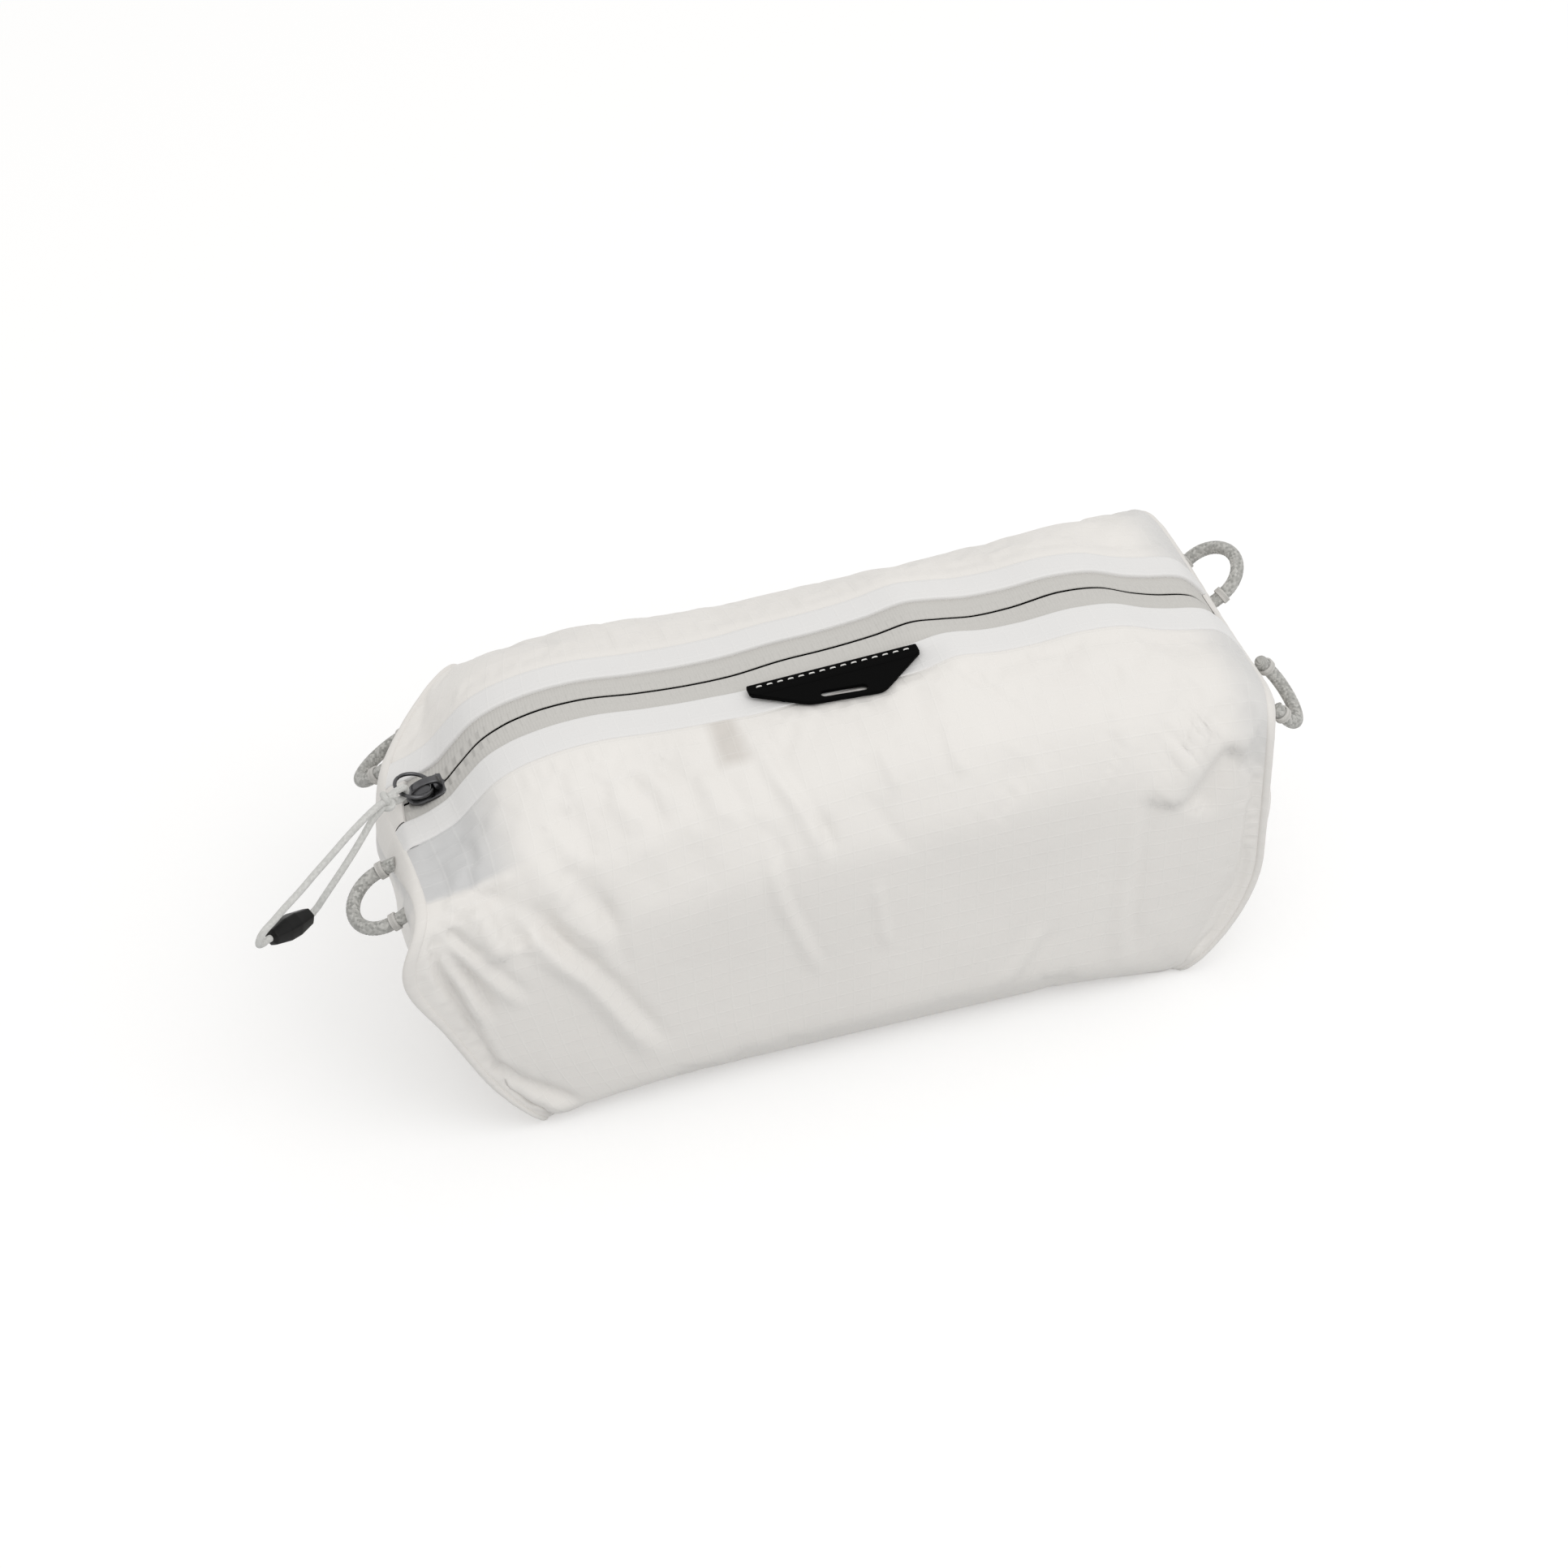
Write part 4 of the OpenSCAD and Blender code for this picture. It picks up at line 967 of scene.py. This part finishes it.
def cornerPlace(endX, endY, lift, further, deeper):
    # the base of a loop on its end seam: turned to follow the rounded corner, then lifted
    y = endY * 26 * mm + further * mm
    z = float(crestHeight(endX * 0.125)) - loops["drop"] * mm
    before, here, after = (float(inset(endX, side) + drift(endX, side, z))
                           for side in (y - 0.01, y, y + 0.01))
    yaw = math.atan((after - before) / 0.02)
    base = Vector((endX * (loops["baseX"] - deeper) * mm + here, y, z))
    return (Matrix.Translation(base) @ Matrix.Rotation(-yaw, 4, "Z")
            @ Matrix.Rotation(math.radians(-endY * loops["turn"]), 4, "X")
            @ Matrix.Rotation(0 if endX > 0 else math.pi, 4, "Z")
            @ Matrix.Rotation(math.radians(-lift), 4, "Y"))


def placed(points, matrix):
    m = np.array(matrix)
    return np.asarray(points) @ m[:3, :3].T + m[:3, 3]


def makeLoop(corner):
    endX, endY, lift, further, deeper = loops["corners"][corner]
    matrix = cornerPlace(endX, endY, lift, further, deeper)
    bend, leg, inside = loops["bend"], loops["leg"], loops["inside"][corner]
    arc = np.linspace(-np.pi / 2, np.pi / 2, 25)
    line = np.concatenate([
        [[-inside, -bend + 0.6, 0], [-inside / 2, -bend + 0.2, 0]],
        np.stack([leg * np.array([0, 0.5]), [-bend, -bend], [0, 0]], 1),
        np.stack([leg + bend * np.cos(arc), bend * np.sin(arc), 0.5 * np.cos(arc)], 1),
        np.stack([leg * np.array([0.5, 0]), [bend, bend], [0, 0]], 1),
        [[-inside / 2, bend - 0.2, 0], [-inside, bend - 0.6, 0]]]) * mm
    path = placed(curveThrough(line, 0.0002), matrix)
    name = corner.replace("_", " ").title().replace(" ", "")
    name = name[0].lower() + name[1:]
    upright = np.array(matrix)[:3, 2]
    cord = tubePiece(name + "Loop", path, loops["diameter"] / 2 * 0.95, 64, loopCord, upright=upright,
                     braid={"strands": 12, "pitch": 0.0011, "relief": 0.00016})
    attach(cord, corner + "_loop")
    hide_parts(corner + "_loop")
    # the whipping: rings of thread round both legs, each turn a small half round
    run = np.linspace(0, 1, 57)
    grids = []
    for side in (-1, 1):
        centre = np.stack([(0.35 + 2.0 * run), np.full(57, side * bend), np.zeros(57)], 1) * mm
        swell = np.clip(np.minimum(run, 1 - run) / 0.06, 0, 1) ** 0.5
        radius = (2.05 + 0.42 * swell + 0.09 * np.abs(np.sin(run * np.pi * 6))) * mm
        angle = np.arange(40) * 2 * np.pi / 40
        ring = np.stack([0 * angle, np.cos(angle), np.sin(angle)], 1)
        grids.append(centre[:, None] + radius[:, None, None] * ring[None])
    points = placed(np.concatenate([g.reshape(-1, 3) for g in grids]), matrix)
    quads = np.concatenate([gridQuads(57, 40, wrapColumns=True, first=k * 57 * 40) for k in (0, 1)])
    legUv = np.stack(np.broadcast_arrays(run[:, None] * 0.002, np.arange(40)[None] / 40), -1)
    uv = np.tile(legUv.reshape(-1, 2), (2, 1))
    binding = meshFrom(name + "Whipping", points, quads, whipThread, uv)
    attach(binding, corner + "_loop")
    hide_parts(corner + "_whipping")


for corner in loops["corners"]:
    makeLoop(corner)
print("corner loops made")


def flatShape(name, outlines, thickness, edge, material, matrix):
    # a plate from its outline and holes in mm, with rounded edges, made a mesh and put in place
    curve = bpy.data.curves.new(name, "CURVE")
    curve.dimensions = "2D"
    curve.fill_mode = "BOTH"
    curve.extrude = (thickness / 2 - edge) * mm
    curve.bevel_depth = edge * mm
    curve.bevel_resolution = 3
    curve.offset = -edge * mm
    for outline in outlines:
        spline = curve.splines.new("POLY")
        spline.points.add(len(outline) - 1)
        corners = np.concatenate([np.asarray(outline, float) * mm, np.zeros((len(outline), 1)),
                                  np.ones((len(outline), 1))], 1)
        spline.points.foreach_set("co", corners.ravel())
        spline.use_cyclic_u = True
    flat = bpy.data.objects.new(name + "Flat", curve)
    scene.collection.objects.link(flat)
    mesh = bpy.data.meshes.new_from_object(flat.evaluated_get(bpy.context.evaluated_depsgraph_get()))
    bpy.data.objects.remove(flat)
    mesh.name = name
    mesh.transform(matrix)
    mesh.materials.clear()
    mesh.materials.append(material)
    piece = bpy.data.objects.new(name, mesh)
    scene.collection.objects.link(piece)
    return piece


def onCrest(turn, offset=(0, 0, 0)):
    # from the top of the zip's arc round by turn, then by offset in mm
    return (Matrix.Translation((bag["crestX"], 0, bag["axisZ"])) @ Matrix.Rotation(turn, 4, "Y")
            @ Matrix.Translation((offset[0] * mm, offset[1] * mm, bag["crestRadius"] + offset[2] * mm)))


def roundedOutline(corners, radii, steps=8):
    # each corner becomes an arc: points of a quadratic curve between its two sides
    corners = np.asarray(corners, float)
    out = []
    for k, radius in enumerate(radii):
        p, a, b = corners[k], corners[k - 1], corners[(k + 1) % len(corners)]
        start = p + (a - p) / np.linalg.norm(a - p) * radius
        end = p + (b - p) / np.linalg.norm(b - p) * radius
        t = np.linspace(0, 1, steps)[:, None]
        out.append((1 - t) ** 2 * start + 2 * t * (1 - t) * p + t**2 * end)
    return np.concatenate(out)


# The hang tab: a rubber-coated trapezoid with a slot, sewn along its head.
tab = {
    "width": 50.0,
    "tipWidth": 21.0,
    "drop": 14.0,
    "head": 3.2,
    "thickness": 1.2,
    "gap": 0.35,
    "slope": 1.5,
    "x": 0.003,
    "shift": -1.5,
    "skew": 0.12,
    "slot": (13.2, 2.4, 1.6),
    "stitches": 15,
    "stitchLength": 1.8,
}


def makeTab():
    turn = math.asin((tab["x"] - bag["crestX"]) / bag["crestRadius"])
    place = (onCrest(turn, (tab["shift"], -9, tab["gap"]))
             @ Matrix.Rotation(math.radians(tab["slope"]), 4, "X"))
    w, tip, drop, head, t = tab["width"] / 2, tab["tipWidth"] / 2, tab["drop"], tab["head"], tab["thickness"]
    middle = place @ Matrix.Translation((0, 0, t / 2 * mm))
    headPlate = flatShape("tabHead", [roundedOutline([(-w, 0), (-w, -head), (w, -head), (w, 0)],
                                                     [0.6, 0.15, 0.15, 0.6])], t, 0.2, rubber, middle)
    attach(headPlate, "bag")
    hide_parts("tab_head_strip")
    hinge = -(head + tab["gap"])
    length, width, edge = tab["slot"]
    angle = np.linspace(0, np.pi, 13)
    half = (length - width) / 2
    slot = np.concatenate([
        np.stack([half + width / 2 * np.sin(angle), width / 2 * np.cos(angle)], 1),
        np.stack([-half - width / 2 * np.sin(angle), -width / 2 * np.cos(angle)], 1)])
    slot[:, 1] += edge + width / 2 - drop - tab["skew"] * slot[:, 0]
    fall = tab["skew"] * tip
    outline = roundedOutline([(-w, hinge), (-tip, -drop + fall), (tip, -drop - fall), (w, hinge)],
                             [0.4, 2.2, 2.2, 0.4], 12)
    flap = flatShape("tabFlap", [outline, slot[::-1]], t, 0.22, rubber, middle)
    # the fold between the head and the flap: a strip over both, arched a little
    across = np.linspace(-1, 1, 61)[:, None]
    down = np.linspace(0, 1, 31)[None]
    y = -2.7 - 2.3 * down
    z = t + 0.05 + 0.05 * np.sin(down * np.pi) - 0.35 * (np.clip((0.12 - down) / 0.12, 0, 1)
                                                          + np.clip((down - 0.88) / 0.12, 0, 1)) ** 2
    inward = np.clip((-y + hinge) / (drop + hinge), 0, 1)
    x = across * (w - 0.25 - (w - tip) * inward)
    foldGrid = placed(np.stack(np.broadcast_arrays(x, y, z), -1).reshape(-1, 3) * mm, place)
    fold = meshFrom("tabFold", foldGrid, gridQuads(61, 31)[:, ::-1], rubber)
    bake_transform(fold)
    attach(flap, "tab")
    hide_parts("hang_tab")
    # stitches: fat threads that dip into the rubber at both ends
    steps, sides = 13, 10
    u = np.linspace(-1, 1, steps)
    angle = np.arange(sides) * 2 * np.pi / sides
    radius = 0.27 * np.sqrt(np.clip(1 - u**8, 0.02, 1))
    one = np.stack([
        u[:, None] * tab["stitchLength"] / 2 + 0 * angle[None],
        radius[:, None] * np.cos(angle)[None] * 0.8 - head / 2 + 0.1,
        t + 0.16 - 0.3 * u[:, None] ** 4 + radius[:, None] * np.sin(angle)[None] * 0.7], -1).reshape(-1, 3)
    pitch = tab["width"] / (tab["stitches"] + 1.2)
    shifts = (np.arange(tab["stitches"]) - (tab["stitches"] - 1) / 2) * pitch
    points = (one[None] + np.stack([shifts, 0 * shifts, 0 * shifts], 1)[:, None]).reshape(-1, 3) * mm
    quads = np.concatenate([gridQuads(steps, sides, wrapColumns=True, first=k * steps * sides)
                            for k in range(tab["stitches"])])
    stitches = meshFrom("tabStitches", placed(points, place), quads[:, ::-1], thread)
    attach(stitches, "bag")
    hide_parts("tab_stitches")
    print("hang tab made")


makeTab()


# The slider: two plates with a rounded nose, an arched bail, and a split ring.
slider = {
    "length": 12.0,
    "plate": 1.1,
    "topPlate": -0.7,
    "underPlate": -5.5,
    "flangeInner": 3.65,
    "flange": 0.75,
    "bailLength": 9.6,
    "bailOpen": 2.3,
    "bailWire": 1.0,
    "bailWidth": 2.6,
    "ring": 11.5,
    "wire": 1.1,
    "seat": 2.1,
    "lift": 27.0,
    "x": -113.7,
}


def makeSlider():
    turn = math.asin((slider["x"] * mm - bag["crestX"]) / bag["crestRadius"])
    length, t = slider["length"], slider["plate"]
    nose = slider["flangeInner"] + slider["flange"]
    arc = np.linspace(np.pi / 2, 3 * np.pi / 2, 25)
    outline = np.concatenate([
        np.stack([nose - length / 2 + nose * np.cos(arc), nose * np.sin(arc)], 1),
        roundedOutline([(length / 2 - 2, -nose), (length / 2 - 0.4, -nose + 0.5), (length / 2, 0),
                        (length / 2 - 0.4, nose - 0.5), (length / 2 - 2, nose)],
                       [0.05, 0.8, 1.5, 0.8, 0.05])])
    top = flatShape("sliderTop", [outline], t, 0.35, gunmetal,
                    onCrest(turn, (0, 0, slider["topPlate"] + t / 2)))
    under = flatShape("sliderUnder", [outline], t, 0.3, gunmetal,
                      onCrest(turn, (0, 0, slider["underPlate"] + t / 2)))
    outer = slider["bailLength"] / 2
    rise = slider["bailOpen"] + slider["bailWire"]
    sweep = np.linspace(0, np.pi, 41)
    outside = np.stack([outer * np.cos(sweep), rise * np.sin(sweep) ** 0.62], 1)
    inside = np.stack([(outer - slider["bailWire"]) * np.cos(sweep[::-1]),
                       slider["bailOpen"] * np.sin(sweep[::-1]) ** 0.62], 1)
    inside[0], inside[-1] = (-(outer - slider["bailWire"]), 0), (outer - slider["bailWire"], 0)
    standing = (onCrest(turn, (0, 0, slider["topPlate"] + t - 0.05))
                @ Matrix.Rotation(math.pi / 2, 4, "X"))
    bail = flatShape("sliderBail", [np.concatenate([outside, inside])], slider["bailWidth"], 0.3,
                     gunmetal, standing)
    for piece, nodesOf in ((top, ()), (under, ()), (bail, ("slider_bail",))):
        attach(piece, "slider")
        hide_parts(*nodesOf)
    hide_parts("slider_body")
    # the ring: a circle of wire, thinner at one spot where the split is
    r = (slider["ring"] - slider["wire"]) / 2
    ringZ = slider["topPlate"] + t + 0.3 + slider["wire"] / 2
    place = onCrest(turn, (slider["seat"], 0, ringZ)) @ Matrix.Rotation(math.radians(slider["lift"]), 4, "Y")
    u = np.arange(144) * 2 * np.pi / 144
    v = np.arange(20) * 2 * np.pi / 20
    wire = slider["wire"] / 2 * (1 - 0.16 * np.exp(-((u - 2.2) / 0.05) ** 2))
    reach = r + wire[:, None] * np.cos(v)[None]
    grid = np.stack([reach * np.cos(u)[:, None] - r, reach * np.sin(u)[:, None],
                     wire[:, None] * np.sin(v)[None]], -1)
    ring = meshFrom("pullRing", placed(grid.reshape(-1, 3) * mm, place),
                    gridQuads(144, 20, wrapRows=True, wrapColumns=True)[:, ::-1], gunmetal)
    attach(ring, "pull")
    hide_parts("pull_ring")
    print("slider and ring made")


makeSlider()


# What stays of the solids: the coils and the stops under the tape.
for node, material in (("front_coil", coilPlastic), ("back_coil", coilPlastic), ("left_stops", gunmetal),
                       ("right_stop", gunmetal)):
    mesh = solids[node].data
    mesh.materials.clear()
    mesh.materials.append(material)


# The studio: a pale floor that shows white to the camera and keeps the shadow, soft light.
studio = {
    "floorSize": 6.0,
    "floorShade": (0.65, 0.66, 0.67),
    "floorGlow": (0.372, 0.361, 0.35),
    "worldLevel": 0.86,
    "lampPlace": (0.36, -0.7, 1.25),
    "lampSize": 1.0,
    "lampPower": 5.2,
}


def makeStudio():
    material, tree, shader = newMaterial("floorPaper")
    tree.nodes.remove(shader)
    output = tree.nodes["Material Output"]
    diffuse = addNode(tree, "ShaderNodeBsdfDiffuse", {"Color": studio["floorShade"] + (1,)})
    glow = addNode(tree, "ShaderNodeEmission", {"Color": studio["floorGlow"] + (1,)})
    rays = addNode(tree, "ShaderNodeLightPath")
    mirrored = mathNode(tree, "MAXIMUM", rays.outputs["Is Glossy Ray"], rays.outputs["Is Transmission Ray"])
    seen = mathNode(tree, "MAXIMUM", rays.outputs["Is Camera Ray"], mirrored)
    tree.links.new(seen, glow.inputs["Strength"])
    both = tree.nodes.new("ShaderNodeAddShader")
    tree.links.new(diffuse.outputs[0], both.inputs[0])
    tree.links.new(glow.outputs[0], both.inputs[1])
    tree.links.new(both.outputs[0], output.inputs["Surface"])
    half = studio["floorSize"] / 2
    floor = meshFrom("floor", [(-half, -half, 0), (half, -half, 0), (half, half, 0), (-half, half, 0)],
                     [(0, 1, 2, 3)], material, smooth=False)
    world = bpy.data.worlds.new("softRoom")
    scene.world = world
    world.use_nodes = True
    nodes = world.node_tree
    background = nodes.nodes["Background"]
    rays = addNode(nodes, "ShaderNodeLightPath")
    seen = mathNode(nodes, "MAXIMUM", rays.outputs["Is Camera Ray"], rays.outputs["Is Transmission Ray"])
    level = mathNode(nodes, "MULTIPLY_ADD", seen, 1 - studio["worldLevel"], studio["worldLevel"])
    background.inputs["Color"].default_value = (1.0, 0.995, 0.985, 1)
    nodes.links.new(level, background.inputs["Strength"])
    light = bpy.data.lights.new("softbox", "AREA")
    light.size = studio["lampSize"]
    light.energy = studio["lampPower"]
    lamp = bpy.data.objects.new("softbox", light)
    lamp.location = studio["lampPlace"]
    lamp.rotation_euler = (Vector((0, 0, 0.05)) - lamp.location).to_track_quat("-Z", "Y").to_euler()
    scene.collection.objects.link(lamp)
    scene.view_settings.view_transform = "Standard"
    print("studio made")


makeStudio()
